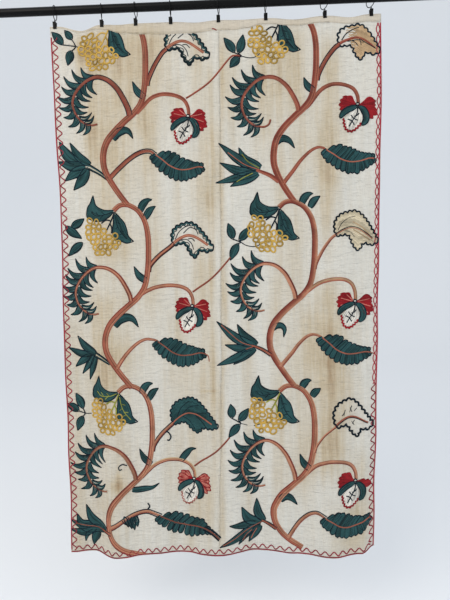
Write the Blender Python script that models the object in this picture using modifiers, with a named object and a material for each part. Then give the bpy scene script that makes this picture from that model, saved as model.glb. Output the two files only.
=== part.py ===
"""Crewel embroidery panel hung from a curtain rod by clip rings.

Metres, +Z up. The origin is on the rod's centre line at the middle of its length. The rod runs
along X, the panel hangs in the plane y = 0, and its embroidered face looks along -Y.
"""

from math import cos, pi, radians, sin

import bmesh
import bpy
from mathutils import Vector

GAP = 0.0003                      # between touching pieces

# Rod
ROD_LENGTH = 1.50
ROD_RADIUS = 0.0125
ROD_EDGE = 0.001                  # rounded edge of its plain ends

# Clip rings, from the rod's top downwards
RING_WIRE = 0.00125               # wire radius
RING_MAJOR = 0.01900 + RING_WIRE  # ring's inner radius plus its wire
EYELET_WIRE = 0.0008
EYELET_MAJOR = 0.0026
BAIL_WIRE = 0.0006
CLIP_WIDTH = 0.011
SPRING_RADIUS = 0.0014
SPRING_LENGTH = 0.0076
CONTACT = ROD_RADIUS + GAP                                     # where the ring rests on the rod
RING_DROP = RING_MAJOR - RING_WIRE                             # contact down to the ring's centre
EYELET_DROP = RING_DROP + RING_MAJOR + RING_WIRE + GAP + EYELET_WIRE + EYELET_MAJOR
BAIL_TOP = CONTACT - EYELET_DROP - EYELET_MAJOR + 0.0021       # bail's wire in the eye
SPRING_HEIGHT = BAIL_TOP - 0.0116
JAW_FOOT = SPRING_HEIGHT - 0.0120
JAW_TOP = SPRING_HEIGHT + 0.0090

# Cloth
THICKNESS = 0.0016
TOP_HEIGHT = -0.0485              # top edge at the clips
LENGTH = 1.700                    # top edge to hem
HEADING = [
    # (place on the top edge, heading strip's height there)
    (-0.511, 0.005),
    (-0.400, 0.006),
    (-0.331, 0.016),
    (-0.282, 0.027),
    (-0.221, 0.034),
    (-0.150, 0.037),
    (+0.000, 0.031),
    (+0.060, 0.031),
    (+0.105, 0.027),
    (+0.160, 0.018),
    (+0.330, 0.020),
    (+0.430, 0.021),
    (+0.521, 0.024),
]
GRIP_HALF = 0.0075                # half of the flat stretch between a clip's jaws
GRIP_DEPTH = 0.011
COLUMN = 0.030                    # widest column of the cloth's mesh between two clips
ROWS = 26
ROW_SPREAD = 1.25                 # rows are closer together near the top
SAG_REACH = 0.32                  # how far down a sag of the top edge is felt
FLUTE_GROWTH = 1.6                # the flutes deepen towards the hem

# Each clip's place along the rod, and how its ring is turned about Z and leans along the rod.
RINGS = [
    # (clip's x, ring's turn in degrees, ring's lean in degrees)
    (-0.495, 5, 2.5),
    (-0.346, 13, -1.5),
    (-0.239, -4, 0.5),
    (-0.129, 3, -1.0),
    (+0.020, -6, 1.0),
    (+0.167, 4, 0.0),
    (+0.349, 27, -2.0),
    (+0.491, 25, -3.0),
]

# The top edge between two clips: how far it drops, where it is lowest, how far it comes forward.
SAGS = [
    # (drop, place of the lowest point, forward)
    (0.021, 0.60, +0.009),
    (0.001, 0.50, -0.002),
    (0.001, 0.50, +0.002),
    (0.003, 0.55, -0.003),
    (0.004, 0.45, +0.004),
    (0.005, 0.50, -0.004),
    (0.011, 0.55, +0.007),
]

# The cloth's three long lines, at shares of its length: left selvedge, centre seam, right selvedge.
LONG_LINES = [
    # (down, left x, seam x, right x)
    (0.00, -0.511, +0.021, 0.521),
    (0.13, -0.507, +0.020, 0.522),
    (0.36, -0.499, +0.015, 0.513),
    (0.57, -0.504, +0.008, 0.506),
    (0.75, -0.503, +0.001, 0.500),
    (0.90, -0.502, -0.008, 0.493),
    (1.00, -0.506, -0.014, 0.490),
]

# Crests and hollows of the hem: share of the width, how far forward, how much lower the hem is.
FLUTES = [
    # (across, forward, drop)
    (0.000, -0.004, -0.004),
    (0.080, -0.014, -0.003),
    (0.165, +0.021, +0.005),
    (0.260, +0.006, +0.001),
    (0.380, -0.009, -0.001),
    (0.505, +0.013, +0.002),
    (0.640, -0.015, -0.003),
    (0.750, +0.001, 0.000),
    (0.870, +0.020, +0.005),
    (0.955, +0.001, +0.002),
    (1.000, -0.016, -0.016),
]


def between(table, place, column):
    """A column of a table at a place between two rows, eased from row to row."""
    for low, high in zip(table, table[1:]):
        if place <= high[0]:
            share = (place - low[0]) / (high[0] - low[0])
            ease = (1 - cos(pi * max(share, 0.0))) / 2
            return low[column] + (high[column] - low[column]) * ease
    return table[-1][column]


def sag(top_x):
    """(drop, forward) of the top edge at top_x, between the clips on either side of it."""
    for (drop, lowest, forward), left, right in zip(SAGS, RINGS, RINGS[1:]):
        start = left[0] + GRIP_HALF
        end = right[0] - GRIP_HALF
        if start < top_x < end:
            share = (top_x - start) / (end - start)
            if share < lowest:
                turn = share / lowest
            else:
                turn = (1 - share) / (1 - lowest)
            swell = (1 - cos(pi * turn)) / 2
            return drop * swell, forward * swell
    return 0.0, 0.0


def heading_height(top_x):
    return between(HEADING, top_x, 1)


def cloth_point(top_x, down):
    """The cloth's middle surface: top_x is the place on the top edge, down the share of the length."""
    left, seam, right = LONG_LINES[0][1:]
    if top_x <= seam:
        first, second, share = 1, 2, (top_x - left) / (seam - left)
    else:
        first, second, share = 2, 3, (top_x - seam) / (right - seam)
    start = between(LONG_LINES, down, first)
    end = between(LONG_LINES, down, second)
    across = (top_x - left) / (right - left)
    drop, forward = sag(top_x)
    fade = max(0.0, 1 - down * LENGTH / SAG_REACH) ** 2
    free = max(0.0, down - GRIP_DEPTH / LENGTH) ** FLUTE_GROWTH
    depth = forward * fade + between(FLUTES, across, 1) * free
    fall = LENGTH * down + between(FLUTES, across, 2) * down ** 3 + drop * fade
    return Vector((start + (end - start) * share, -depth, TOP_HEIGHT - fall))


def columns(start, end):
    """Places on the top edge from start to end, with a column at each side of every clip's grip."""
    marks = [start, end]
    for place, _, _ in RINGS:
        marks += [x for x in (place - GRIP_HALF, place + GRIP_HALF) if start < x < end]
    marks.sort()
    places = []
    for low, high in zip(marks, marks[1:]):
        count = max(1, round((high - low) / COLUMN))
        places += [low + (high - low) * i / count for i in range(count)]
    return places + [end]


def material(name, colour, roughness, metallic=0.0):
    made = bpy.data.materials.new(name)
    made.use_nodes = True
    shader = made.node_tree.nodes["Principled BSDF"]
    shader.inputs["Base Color"].default_value = (*colour, 1.0)
    shader.inputs["Roughness"].default_value = roughness
    shader.inputs["Metallic"].default_value = metallic
    return made


def finish(thing, name, finish_material, parent=None):
    """Names an object, gives it its material and puts it in the panel's collection."""
    thing.name = name
    thing.data.name = name
    thing.data.materials.append(finish_material)
    for collection in list(thing.users_collection):
        collection.objects.unlink(thing)
    PANEL.objects.link(thing)
    thing.parent = parent
    return thing


def cloth_sheet(name, places, row_of, row_count, finish_material):
    """A sheet of cloth on the columns at places; row_of(place, row) is a share of the length."""
    shape = bmesh.new()
    bmesh.ops.create_grid(shape, x_segments=len(places) - 1, y_segments=row_count, size=0.5)
    for vert in shape.verts:
        place = places[round((vert.co.x + 0.5) * (len(places) - 1))]
        row = round((0.5 - vert.co.y) * row_count)
        vert.co = cloth_point(place, row_of(place, row))
    mesh = bpy.data.meshes.new(name)
    shape.to_mesh(mesh)
    shape.free()
    mesh.shade_smooth()
    sheet = finish(bpy.data.objects.new(name, mesh), name, finish_material)
    solid = sheet.modifiers.new("thickness", "SOLIDIFY")
    solid.thickness = THICKNESS
    solid.offset = 0.0
    solid.use_even_offset = True
    return sheet


def loom_width(name, start, end):
    """One loom width of the ground cloth, from below the heading's seam to the hem."""
    def row_of(place, row):
        top = (heading_height(place) + GAP / 2) / LENGTH
        return top + (1 - top) * (row / ROWS) ** ROW_SPREAD
    return cloth_sheet(name, columns(start, end), row_of, ROWS, GROUND)


def heading_strip():
    """The plain band that the clips grip: flat at the top, then down to its seam."""
    def row_of(place, row):
        foot = heading_height(place) - GAP / 2
        return (0.0, min(GRIP_DEPTH, foot / 2), foot)[row] / LENGTH
    left, seam, right = LONG_LINES[0][1:]
    places = columns(left, seam) + columns(seam, right)[1:]
    return cloth_sheet("heading_strip", places, row_of, 2, HEADING_COTTON)


def curtain_rod():
    bpy.ops.mesh.primitive_cylinder_add(
        vertices=32, radius=ROD_RADIUS, depth=ROD_LENGTH, rotation=(0, pi / 2, 0))
    rod = finish(bpy.context.object, "rod", BLACK_PAINT)
    rod.data.shade_smooth()
    edge = rod.modifiers.new("edge", "BEVEL")
    edge.width = ROD_EDGE
    edge.limit_method = "ANGLE"
    edge.segments = 1
    return rod


def wire_ring(name, major, wire, segments, sides, parent, height):
    """A closed wire ring whose plane is across the rod, centred at height under its parent."""
    bpy.ops.mesh.primitive_torus_add(
        major_radius=major, minor_radius=wire, major_segments=segments, minor_segments=sides)
    ring = finish(bpy.context.object, name, BLACK_WIRE, parent)
    ring.data.shade_smooth()
    ring.location = (0, 0, height)
    ring.rotation_euler = (0, pi / 2, 0)
    return ring


def wire_bail(name, parent):
    """The bent wire that hangs the clip in the eye, open at the spring's two ends."""
    leg = SPRING_LENGTH / 2 + GAP + BAIL_WIRE
    rise = BAIL_TOP - SPRING_HEIGHT
    half = [(0.0, rise), (0.47 * leg, 0.93 * rise), (0.83 * leg, 0.68 * rise),
            (leg, 0.30 * rise), (leg, -BAIL_WIRE)]
    route = [(-x, z) for x, z in reversed(half)] + half[1:]
    curve = bpy.data.curves.new(name, "CURVE")
    curve.dimensions = "3D"
    spline = curve.splines.new("POLY")
    spline.points.add(len(route) - 1)
    for point, (x, z) in zip(spline.points, route):
        point.co = (x, 0, SPRING_HEIGHT + z, 1)
    curve.bevel_depth = BAIL_WIRE
    curve.bevel_resolution = 1
    curve.use_fill_caps = True
    return finish(bpy.data.objects.new(name, curve), name, BLACK_WIRE, parent)


def spring_barrel(name, parent):
    bpy.ops.mesh.primitive_cylinder_add(vertices=12, radius=SPRING_RADIUS, depth=SPRING_LENGTH)
    barrel = finish(bpy.context.object, name, BLACK_WIRE, parent)
    barrel.data.shade_smooth()
    barrel.location = (0, 0, SPRING_HEIGHT)
    barrel.rotation_euler = (0, pi / 2, 0)
    return barrel


def clip_jaw(name, parent, side):
    """One pressed jaw: flat on the cloth, then bent out past the spring; side is -1 in front."""
    face = THICKNESS / 2 + GAP
    sheet = 0.0010
    outline = [
        (face, JAW_FOOT), (face, SPRING_HEIGHT - 0.0036), (face + 0.0010, SPRING_HEIGHT - 0.0015),
        (face + 0.0029, JAW_TOP), (face + 0.0029 + sheet, JAW_TOP),
        (face + 0.0010 + sheet, SPRING_HEIGHT - 0.0019), (face + sheet, SPRING_HEIGHT - 0.0046),
        (face + sheet, JAW_FOOT + 0.0008), (face + 0.6 * sheet, JAW_FOOT),
    ]
    curve = bpy.data.curves.new(name, "CURVE")
    curve.dimensions = "2D"
    curve.fill_mode = "BOTH"
    curve.extrude = CLIP_WIDTH / 2
    spline = curve.splines.new("POLY")
    spline.points.add(len(outline) - 1)
    for point, (out, height) in zip(spline.points, outline):
        point.co = (out, height, 0, 1)
    spline.use_cyclic_u = True
    jaw = finish(bpy.data.objects.new(name, curve), name, BLACK_PRESSED, parent)
    jaw.rotation_euler = (pi / 2, 0, side * pi / 2)
    return jaw


def holder(name, location, rotation):
    """An empty that carries one ring or one clip."""
    empty = bpy.data.objects.new(name, None)
    PANEL.objects.link(empty)
    empty.location = location
    empty.rotation_mode = "ZYX"           # turned about Z first, then leaned
    empty.rotation_euler = rotation
    return empty


def clip_ring(number, place, turn, lean):
    """One ring with its eye, resting on the rod, and the clip that hangs from it."""
    shift = sin(radians(lean)) * EYELET_DROP
    ring_holder = holder(
        f"ring_holder_{number}", (place + shift, 0, CONTACT), (0, radians(lean), radians(turn)))
    wire_ring(f"ring_{number}", RING_MAJOR, RING_WIRE, 24, 6, ring_holder, -RING_DROP)
    wire_ring(f"eyelet_{number}", EYELET_MAJOR, EYELET_WIRE, 12, 6, ring_holder, -EYELET_DROP)
    clip_holder = holder(f"clip_holder_{number}", (place, 0, 0), (0, 0, 0))
    wire_bail(f"bail_{number}", clip_holder)
    spring_barrel(f"spring_{number}", clip_holder)
    clip_jaw(f"jaw_front_{number}", clip_holder, -1)
    clip_jaw(f"jaw_back_{number}", clip_holder, 1)


for thing in list(bpy.data.objects):
    bpy.data.objects.remove(thing)
PANEL = bpy.data.collections.new("crewel_panel_on_rod")
bpy.context.scene.collection.children.link(PANEL)

GROUND = material("cotton_linen_ground", (0.70, 0.63, 0.51), 0.92)
HEADING_COTTON = material("heading_cotton", (0.76, 0.71, 0.61), 0.92)
BLACK_PAINT = material("black_enamel_rod", (0.012, 0.012, 0.013), 0.30, 0.0)
BLACK_WIRE = material("black_wire", (0.015, 0.014, 0.014), 0.40, 0.6)
BLACK_PRESSED = material("black_pressed_steel", (0.014, 0.014, 0.015), 0.38, 0.6)

left_edge, centre_seam, right_edge = LONG_LINES[0][1:]
curtain_rod()
heading_strip()
loom_width("cloth_left", left_edge, centre_seam - GAP / 2)
loom_width("cloth_right", centre_seam + GAP / 2, right_edge)
for number, (place, turn, lean) in enumerate(RINGS, 1):
    clip_ring(number, place, turn, lean)
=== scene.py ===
"""Crewel embroidery panel hung by clip rings from a black curtain rod.

The file follows the object as it is put together: camera and room light, the rod, the clip rings,
the two loom widths of cloth and the heading, the crewel wool worked on them, and the border.
The embroidery is laid out flat, in millimetres on the cloth (x from the rod's middle, y down from
the top edge), and each piece is then hung on the cloth's folds.
"""

import random
from math import atan2, cos, hypot, pi, radians, sin

import bmesh
import bpy
import numpy as np
from mathutils import Matrix, Vector


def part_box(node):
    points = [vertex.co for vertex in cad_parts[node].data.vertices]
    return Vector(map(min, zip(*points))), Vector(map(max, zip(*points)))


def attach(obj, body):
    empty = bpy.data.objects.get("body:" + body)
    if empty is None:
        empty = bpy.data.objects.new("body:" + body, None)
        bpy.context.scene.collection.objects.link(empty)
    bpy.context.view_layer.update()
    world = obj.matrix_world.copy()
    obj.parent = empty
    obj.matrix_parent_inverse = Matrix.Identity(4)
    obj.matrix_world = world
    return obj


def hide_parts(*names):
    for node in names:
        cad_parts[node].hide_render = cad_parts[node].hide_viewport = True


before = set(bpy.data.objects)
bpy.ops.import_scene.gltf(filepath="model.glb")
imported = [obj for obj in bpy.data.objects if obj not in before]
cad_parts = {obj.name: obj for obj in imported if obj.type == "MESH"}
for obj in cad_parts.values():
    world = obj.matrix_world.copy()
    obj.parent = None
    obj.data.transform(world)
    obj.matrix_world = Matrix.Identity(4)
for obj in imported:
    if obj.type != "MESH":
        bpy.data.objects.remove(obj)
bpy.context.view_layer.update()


# --- Camera, light and floor ------------------------------------------------------------------
# A wide lens at breast height, a little right of the middle and tipped slightly down. Soft
# daylight comes from the upper left in front. The floor sweeps up well behind the panel, as a
# paper backdrop does, so that the panel stands against a plain pale ground.

EYE = (0.0677, -1.4366, -0.8605)
TURN, TIP, ROLL = radians(1.84), radians(-2.36), radians(1.26)
LENS = 27.06
FLOOR_HEIGHT = -2.02
SWEEP_FRONT = -9.0
SWEEP_BACK = 9.0
SWEEP_RADIUS = 4.0
SWEEP_HALF_WIDTH = 12.0
WALL_ABOVE_SWEEP = 6.0
PANEL_MIDDLE = Vector((0, 0, -0.85))


def linear(hex_colour):
    """An sRGB hex colour as linear red, green, blue and alpha."""
    parts = [int(hex_colour[i:i + 2], 16) / 255 for i in (1, 3, 5)]
    return [p / 12.92 if p <= 0.04045 else ((p + 0.055) / 1.055) ** 2.4 for p in parts] + [1.0]


def add_node(tree, kind, inputs=None, **settings):
    """Adds a node. inputs are socket values, or (node, output) pairs to link from."""
    made = tree.nodes.new(kind)
    for name, value in settings.items():
        setattr(made, name, value)
    for socket, value in (inputs or {}).items():
        if isinstance(value, tuple) and isinstance(value[0], bpy.types.Node):
            tree.links.new(value[0].outputs[value[1]], made.inputs[socket])
        else:
            made.inputs[socket].default_value = value
    return made


def new_material(name, **shader_values):
    """A material with a Principled shader; returns it, its node tree and the shader."""
    made = bpy.data.materials.new(name)
    made.use_nodes = True
    shader = made.node_tree.nodes["Principled BSDF"]
    for socket, value in shader_values.items():
        shader.inputs[socket.replace("_", " ")].default_value = value
    return made, made.node_tree, shader


def link(tree, source, output, target, socket):
    """Links an output of one node to an input of another, both by name or number."""
    tree.links.new(source.outputs[output], target.inputs[socket])


def place_mesh(name, shape, material):
    """Turns a bmesh into a smooth-shaded object at the origin with one material."""
    mesh = bpy.data.meshes.new(name)
    shape.to_mesh(mesh)
    shape.free()
    mesh.materials.append(material)
    mesh.shade_smooth()
    made = bpy.data.objects.new(name, mesh)
    bpy.context.scene.collection.objects.link(made)
    return made


camera_data = bpy.data.cameras.new("camera")
camera_data.lens = LENS
camera_data.sensor_width = 36.0
camera = bpy.data.objects.new("camera", camera_data)
bpy.context.scene.collection.objects.link(camera)
camera.matrix_world = (
    Matrix.Translation(EYE) @ Matrix.Rotation(TURN, 4, "Z") @ Matrix.Rotation(TIP, 4, "X")
    @ Matrix.Rotation(ROLL, 4, "Y") @ Matrix.Rotation(pi / 2, 4, "X"))
bpy.context.scene.camera = camera

for name, spot, size, watts, tint in (
        ("window_light", (-1.9, -2.6, 0.9), 2.2, 52.0, "#fff6ea"),
        ("room_light", (2.3, -2.4, -0.1), 2.6, 23.0, "#d4e6fb")):
    lamp = bpy.data.lights.new(name, "AREA")
    lamp.size = size
    lamp.energy = watts
    lamp.color = linear(tint)[:3]
    holder = bpy.data.objects.new(name, lamp)
    holder.location = spot
    holder.rotation_euler = (PANEL_MIDDLE - Vector(spot)).to_track_quat("-Z", "Y").to_euler()
    bpy.context.scene.collection.objects.link(holder)

world = bpy.data.worlds.new("room")
world.use_nodes = True
world.node_tree.nodes["Background"].inputs["Color"].default_value = linear("#e9eef3")
world.node_tree.nodes["Background"].inputs["Strength"].default_value = 1.01
bpy.context.scene.world = world
bpy.context.scene.view_settings.view_transform = "Standard"

paper, _, paper_shader = new_material("matt_paper_floor", Roughness=0.95)
paper_shader.inputs["Base Color"].default_value = linear("#ebecee")
shape = bmesh.new()
front = shape.edges.new([shape.verts.new((side * SWEEP_HALF_WIDTH, SWEEP_FRONT, FLOOR_HEIGHT))
                         for side in (-1, 1)])
moved = bmesh.ops.extrude_edge_only(shape, edges=[front])["geom"]
bmesh.ops.translate(shape, verts=[v for v in moved if isinstance(v, bmesh.types.BMVert)],
                    vec=(0, SWEEP_BACK - SWEEP_RADIUS - SWEEP_FRONT, 0))
curve_start = [e for e in moved if isinstance(e, bmesh.types.BMEdge)]
swept = bmesh.ops.spin(
    shape, geom=curve_start + [v for e in curve_start for v in e.verts], steps=24, angle=pi / 2,
    axis=(1, 0, 0), cent=(0, SWEEP_BACK - SWEEP_RADIUS, FLOOR_HEIGHT + SWEEP_RADIUS))["geom_last"]
wall_edge = [e for e in swept if isinstance(e, bmesh.types.BMEdge)]
moved = bmesh.ops.extrude_edge_only(shape, edges=wall_edge)["geom"]
bmesh.ops.translate(shape, verts=[v for v in moved if isinstance(v, bmesh.types.BMVert)],
                    vec=(0, 0, WALL_ABOVE_SWEEP))
bmesh.ops.recalc_face_normals(shape, faces=shape.faces)
floor = place_mesh("floor_sweep", shape, paper)


# --- Rod --------------------------------------------------------------------------------------
# A steel curtain rod, 25 mm across, cut plain at both ends. It is black enamel over steel tube:
# half-gloss, so it carries one long soft highlight, with faint brush drag along its length.

def black_finish(name, roughness, scale, drag):
    """Black enamel or coating: near black, with uneven gloss and a very fine orange peel."""
    made, tree, shader = new_material(name, Metallic=0.0, IOR=1.5, Specular_IOR_Level=0.12)
    where = add_node(tree, "ShaderNodeTexCoord")
    spread = add_node(tree, "ShaderNodeMapping", {"Vector": (where, "Object"), "Scale": drag})
    grain = add_node(tree, "ShaderNodeTexNoise",
                     {"Vector": (spread, "Vector"), "Scale": scale, "Detail": 4.0, "Roughness": 0.6})
    gloss = add_node(tree, "ShaderNodeMapRange", {"Value": (grain, "Fac"), "From Min": 0.3, "From Max": 0.7,
                     "To Min": roughness - 0.07, "To Max": roughness + 0.12})
    link(tree, gloss, "Result", shader, "Roughness")
    worn = add_node(tree, "ShaderNodeValToRGB", {"Fac": (grain, "Fac")})
    worn.color_ramp.elements[0].color = linear("#050506")
    worn.color_ramp.elements[1].color = linear("#0b0b0b")
    link(tree, worn, "Color", shader, "Base Color")
    bump = add_node(tree, "ShaderNodeBump", {"Height": (grain, "Fac"), "Strength": 0.12, "Distance": 0.0002})
    link(tree, bump, "Normal", shader, "Normal")
    return made


rod_low, rod_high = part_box("rod")
ROD_RADIUS = (rod_high.z - rod_low.z) / 2
ROD_END_ROUND = 0.0012
rod_enamel = black_finish("black_enamel_on_steel_tube", 0.30, 220.0, (0.05, 1.0, 1.0))
shape = bmesh.new()
bmesh.ops.create_cone(shape, cap_ends=True, segments=64, radius1=ROD_RADIUS, radius2=ROD_RADIUS,
                      depth=rod_high.x - rod_low.x, matrix=Matrix.Rotation(pi / 2, 4, "Y"))
ends = [e for e in shape.edges if abs(e.verts[0].co.x - e.verts[1].co.x) < 1e-6]
bmesh.ops.bevel(shape, geom=ends, offset=ROD_END_ROUND, segments=3, profile=0.5,
                affect="EDGES", material=-1)
curtain_rod = place_mesh("curtain_rod", shape, rod_enamel)
curtain_rod.data.set_sharp_from_angle(angle=radians(40))
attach(curtain_rod, "root")
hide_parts("rod")


# --- Clip rings -------------------------------------------------------------------------------
# Eight wire rings ride on the rod. Each has a small welded eye, a bent wire bail through the eye,
# and a pressed steel clip with a coil spring at its pivot. All are steel with a black coating.

RINGS = [
    # (clip's x in metres, ring's turn and lean in degrees), as they hang on the rod
    (-0.495, 5, 2.5),
    (-0.346, 13, -1.5),
    (-0.239, -4, 0.5),
    (-0.129, 3, -1.0),
    (+0.020, -6, 1.0),
    (+0.167, 4, 0.0),
    (+0.349, 27, -2.0),
    (+0.491, 25, -3.0),
]
RING_WIRE = 0.00125
RING_MAJOR = 0.02025
EYE_WIRE = 0.0008
EYE_MAJOR = 0.0026
BAIL_WIRE = 0.0006
SPRING_WIRE = 0.0003
SPRING_RADIUS = 0.0011
SPRING_TURNS = 9
SPRING_STEPS = 10                            # straight pieces in one turn of the coil
SPRING_HALF = 0.0035
JAW_SHEET = 0.0010
JAW_WIDTH = 0.0110
JAW_EDGE_ROUND = 0.00025
GAP = 0.0003                                 # between touching parts, so that they stay apart
CONTACT = ROD_RADIUS + GAP
CLOTH_HALF = 0.0008                          # the jaws clear this much cloth on each side
EYE_DROP = 2 * RING_MAJOR + GAP + EYE_WIRE + EYE_MAJOR

black_wire = black_finish("black_coated_steel_wire", 0.36, 900.0, (1.0, 1.0, 1.0))
black_pressed = black_finish("black_coated_pressed_steel", 0.40, 700.0, (1.0, 1.0, 0.3))


def wire_loop(shape, major, wire, segments, sides, where):
    """A torus: a round of wire spun about X, then moved by the matrix where."""
    upright = Matrix.Translation((0, 0, major)) @ Matrix.Rotation(pi / 2, 4, "X")
    verts = bmesh.ops.create_circle(shape, segments=sides, radius=wire, matrix=upright)["verts"]
    loop = verts + list({e for v in verts for e in v.link_edges})
    bmesh.ops.spin(shape, geom=loop, steps=segments, angle=2 * pi, axis=(1, 0, 0), cent=(0, 0, 0),
                   use_merge=True)
    made = list({v for v in shape.verts if not v.tag})
    bmesh.ops.transform(shape, matrix=where, verts=made)
    for vert in made:
        vert.tag = True


def wire_run(name, points, radius, material, sides=2):
    """A length of round wire along points, as a closed mesh."""
    data = bpy.data.curves.new(name, "CURVE")
    data.dimensions = "3D"
    data.bevel_depth = radius
    data.bevel_resolution = sides
    data.use_fill_caps = True
    spline = data.splines.new("POLY")
    spline.points.add(len(points) - 1)
    for target, point in zip(spline.points, points):
        target.co = (*point, 1)
    guide = bpy.data.objects.new(name + "_guide", data)
    bpy.context.scene.collection.objects.link(guide)
    bpy.context.view_layer.update()
    mesh = bpy.data.meshes.new_from_object(guide.evaluated_get(bpy.context.evaluated_depsgraph_get()))
    bpy.data.objects.remove(guide)
    shape = bmesh.new()
    shape.from_mesh(mesh)
    bmesh.ops.remove_doubles(shape, verts=shape.verts, dist=radius / 50)
    bmesh.ops.recalc_face_normals(shape, faces=shape.faces)
    made = place_mesh(name, shape, material)
    made.data.set_sharp_from_angle(angle=radians(50))
    return made


def pressed_jaw(name, place, side, spring_height):
    """One jaw: a pressed strip, flat on the cloth and bent out past the spring, edges rolled."""
    face = CLOTH_HALF + GAP
    foot, top = spring_height - 0.0120, spring_height + 0.0090
    outline = [
        (face, foot), (face, spring_height - 0.0036), (face + 0.0010, spring_height - 0.0015),
        (face + 0.0029, top), (face + 0.0029 + JAW_SHEET, top),
        (face + 0.0010 + JAW_SHEET, spring_height - 0.0019), (face + JAW_SHEET, spring_height - 0.0046),
        (face + JAW_SHEET, foot + 0.0008), (face + 0.6 * JAW_SHEET, foot),
    ]
    shape = bmesh.new()
    start = shape.faces.new([shape.verts.new((place - JAW_WIDTH / 2, side * out, height))
                             for out, height in outline])
    pushed = bmesh.ops.extrude_face_region(shape, geom=[start])["geom"]
    bmesh.ops.translate(shape, verts=[v for v in pushed if isinstance(v, bmesh.types.BMVert)],
                        vec=(JAW_WIDTH, 0, 0))
    bmesh.ops.recalc_face_normals(shape, faces=shape.faces)
    corners = [e for e in shape.edges if abs(e.verts[0].co.x - e.verts[1].co.x) > JAW_WIDTH / 2
               and (max(v.co.z for v in e.verts) > top - 1e-5
                    or min(v.co.z for v in e.verts) < foot + 1e-5)]
    rims = [e for e in shape.edges if abs(e.verts[0].co.x - e.verts[1].co.x) < 1e-6]
    bmesh.ops.bevel(shape, geom=corners + rims, offset=JAW_EDGE_ROUND, segments=2, profile=0.5,
                    affect="EDGES", material=-1)
    made = place_mesh(name, shape, black_pressed)
    made.data.set_sharp_from_angle(angle=radians(35))
    return made


def clip_ring(number, place, turn, lean):
    """A ring with its eye, a bail, a coil spring and two jaws, in the places of their CAD nodes."""
    shift = sin(radians(lean)) * EYE_DROP
    where = (Matrix.Translation((place + shift, 0, CONTACT))
             @ Matrix.Rotation(radians(lean), 4, "Y") @ Matrix.Rotation(radians(turn), 4, "Z"))
    shape = bmesh.new()
    wire_loop(shape, RING_MAJOR, RING_WIRE, 56, 10,
              where @ Matrix.Translation((0, 0, RING_WIRE - RING_MAJOR)))
    ring = place_mesh(f"rod_ring_{number}", shape, black_wire)
    shape = bmesh.new()
    wire_loop(shape, EYE_MAJOR, EYE_WIRE, 20, 8, where @ Matrix.Translation((0, 0, -EYE_DROP)))
    eye = place_mesh(f"ring_eye_{number}", shape, black_wire)
    bail_top = CONTACT - EYE_DROP - EYE_MAJOR + 0.0021
    spring_height = bail_top - 0.0116
    leg, rise = 0.0047, bail_top - spring_height
    half = [(0.0, 1.0), (0.25, 0.985), (0.47, 0.93), (0.68, 0.82), (0.83, 0.68), (0.94, 0.50),
            (1.0, 0.30), (1.0, -0.05)]
    route = [(-x, z) for x, z in reversed(half)] + half[1:]
    bail = wire_run(f"clip_bail_{number}",
                    [(place + leg * x, 0, spring_height + rise * z) for x, z in route],
                    BAIL_WIRE, black_wire)
    steps = SPRING_TURNS * SPRING_STEPS
    coil = [(place + SPRING_HALF * (2 * i / steps - 1), SPRING_RADIUS * cos(2 * pi * i / SPRING_STEPS),
             spring_height + SPRING_RADIUS * sin(2 * pi * i / SPRING_STEPS)) for i in range(steps + 1)]
    spring = wire_run(f"clip_spring_{number}", coil, SPRING_WIRE, black_wire, 1)
    front = pressed_jaw(f"clip_jaw_front_{number}", place, -1, spring_height)
    back = pressed_jaw(f"clip_jaw_back_{number}", place, 1, spring_height)
    for piece, node, slot in (
            (ring, "ring", "ring_wire"), (eye, "eyelet", "ring_wire"),
            (bail, "bail", "clip_wire"), (spring, "spring", "clip_wire"),
            (front, "jaw_front", "clip_steel"), (back, "jaw_back", "clip_steel")):
        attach(piece, "root")
        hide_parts(f"{node}_{number}")


for number, (place, turn, lean) in enumerate(RINGS, 1):
    clip_ring(number, place, turn, lean)


# --- The cloth's hang -------------------------------------------------------------------------
# The panel hangs in gentle flutes that deepen towards the hem, its top edge sagging between the
# clips. These are the solids' own folds, with soft creases and ripples of the worn cloth added.

MM = 0.001
LENGTH = 1700.0                              # millimetres, top edge to hem
TOP_HEIGHT = -0.0485
GRIP_HALF = 7.5
GRIP_DEPTH = 11.0
SAG_REACH = 320.0
FLUTE_GROWTH = 1.6

SAGS = [
    # (drop in mm, place of the lowest point, forward in mm), for each stretch between two clips
    (21, 0.60, +9),
    (1, 0.50, -2),
    (1, 0.50, +2),
    (3, 0.55, -3),
    (4, 0.45, +4),
    (5, 0.50, -4),
    (11, 0.55, +7),
]
LONG_LINES = np.array([
    # (down, left selvedge x, seam x, right selvedge x), x in mm
    (0.00, -511, +21, 521),
    (0.13, -507, +20, 522),
    (0.36, -499, +15, 513),
    (0.57, -504, +8, 506),
    (0.75, -503, +1, 500),
    (0.90, -502, -8, 493),
    (1.00, -506, -14, 490),
], float)
FLUTES = np.array([
    # (across, forward in mm, drop in mm) at the hem
    (0.000, -4, -4),
    (0.080, -14, -3),
    (0.165, +21, +5),
    (0.260, +6, +1),
    (0.380, -9, -1),
    (0.505, +13, +2),
    (0.640, -15, -3),
    (0.750, +1, 0),
    (0.870, +20, +5),
    (0.955, +1, +2),
    (1.000, -16, -16),
], float)
HEADING = np.array([
    # (x, height in mm) of the heading strip, which is folded away to almost nothing at the left
    (-511, 5),
    (-400, 6),
    (-331, 16),
    (-282, 27),
    (-221, 34),
    (-150, 37),
    (0, 31),
    (60, 31),
    (105, 27),
    (160, 18),
    (330, 20),
    (430, 21),
    (521, 24),
], float)
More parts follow.
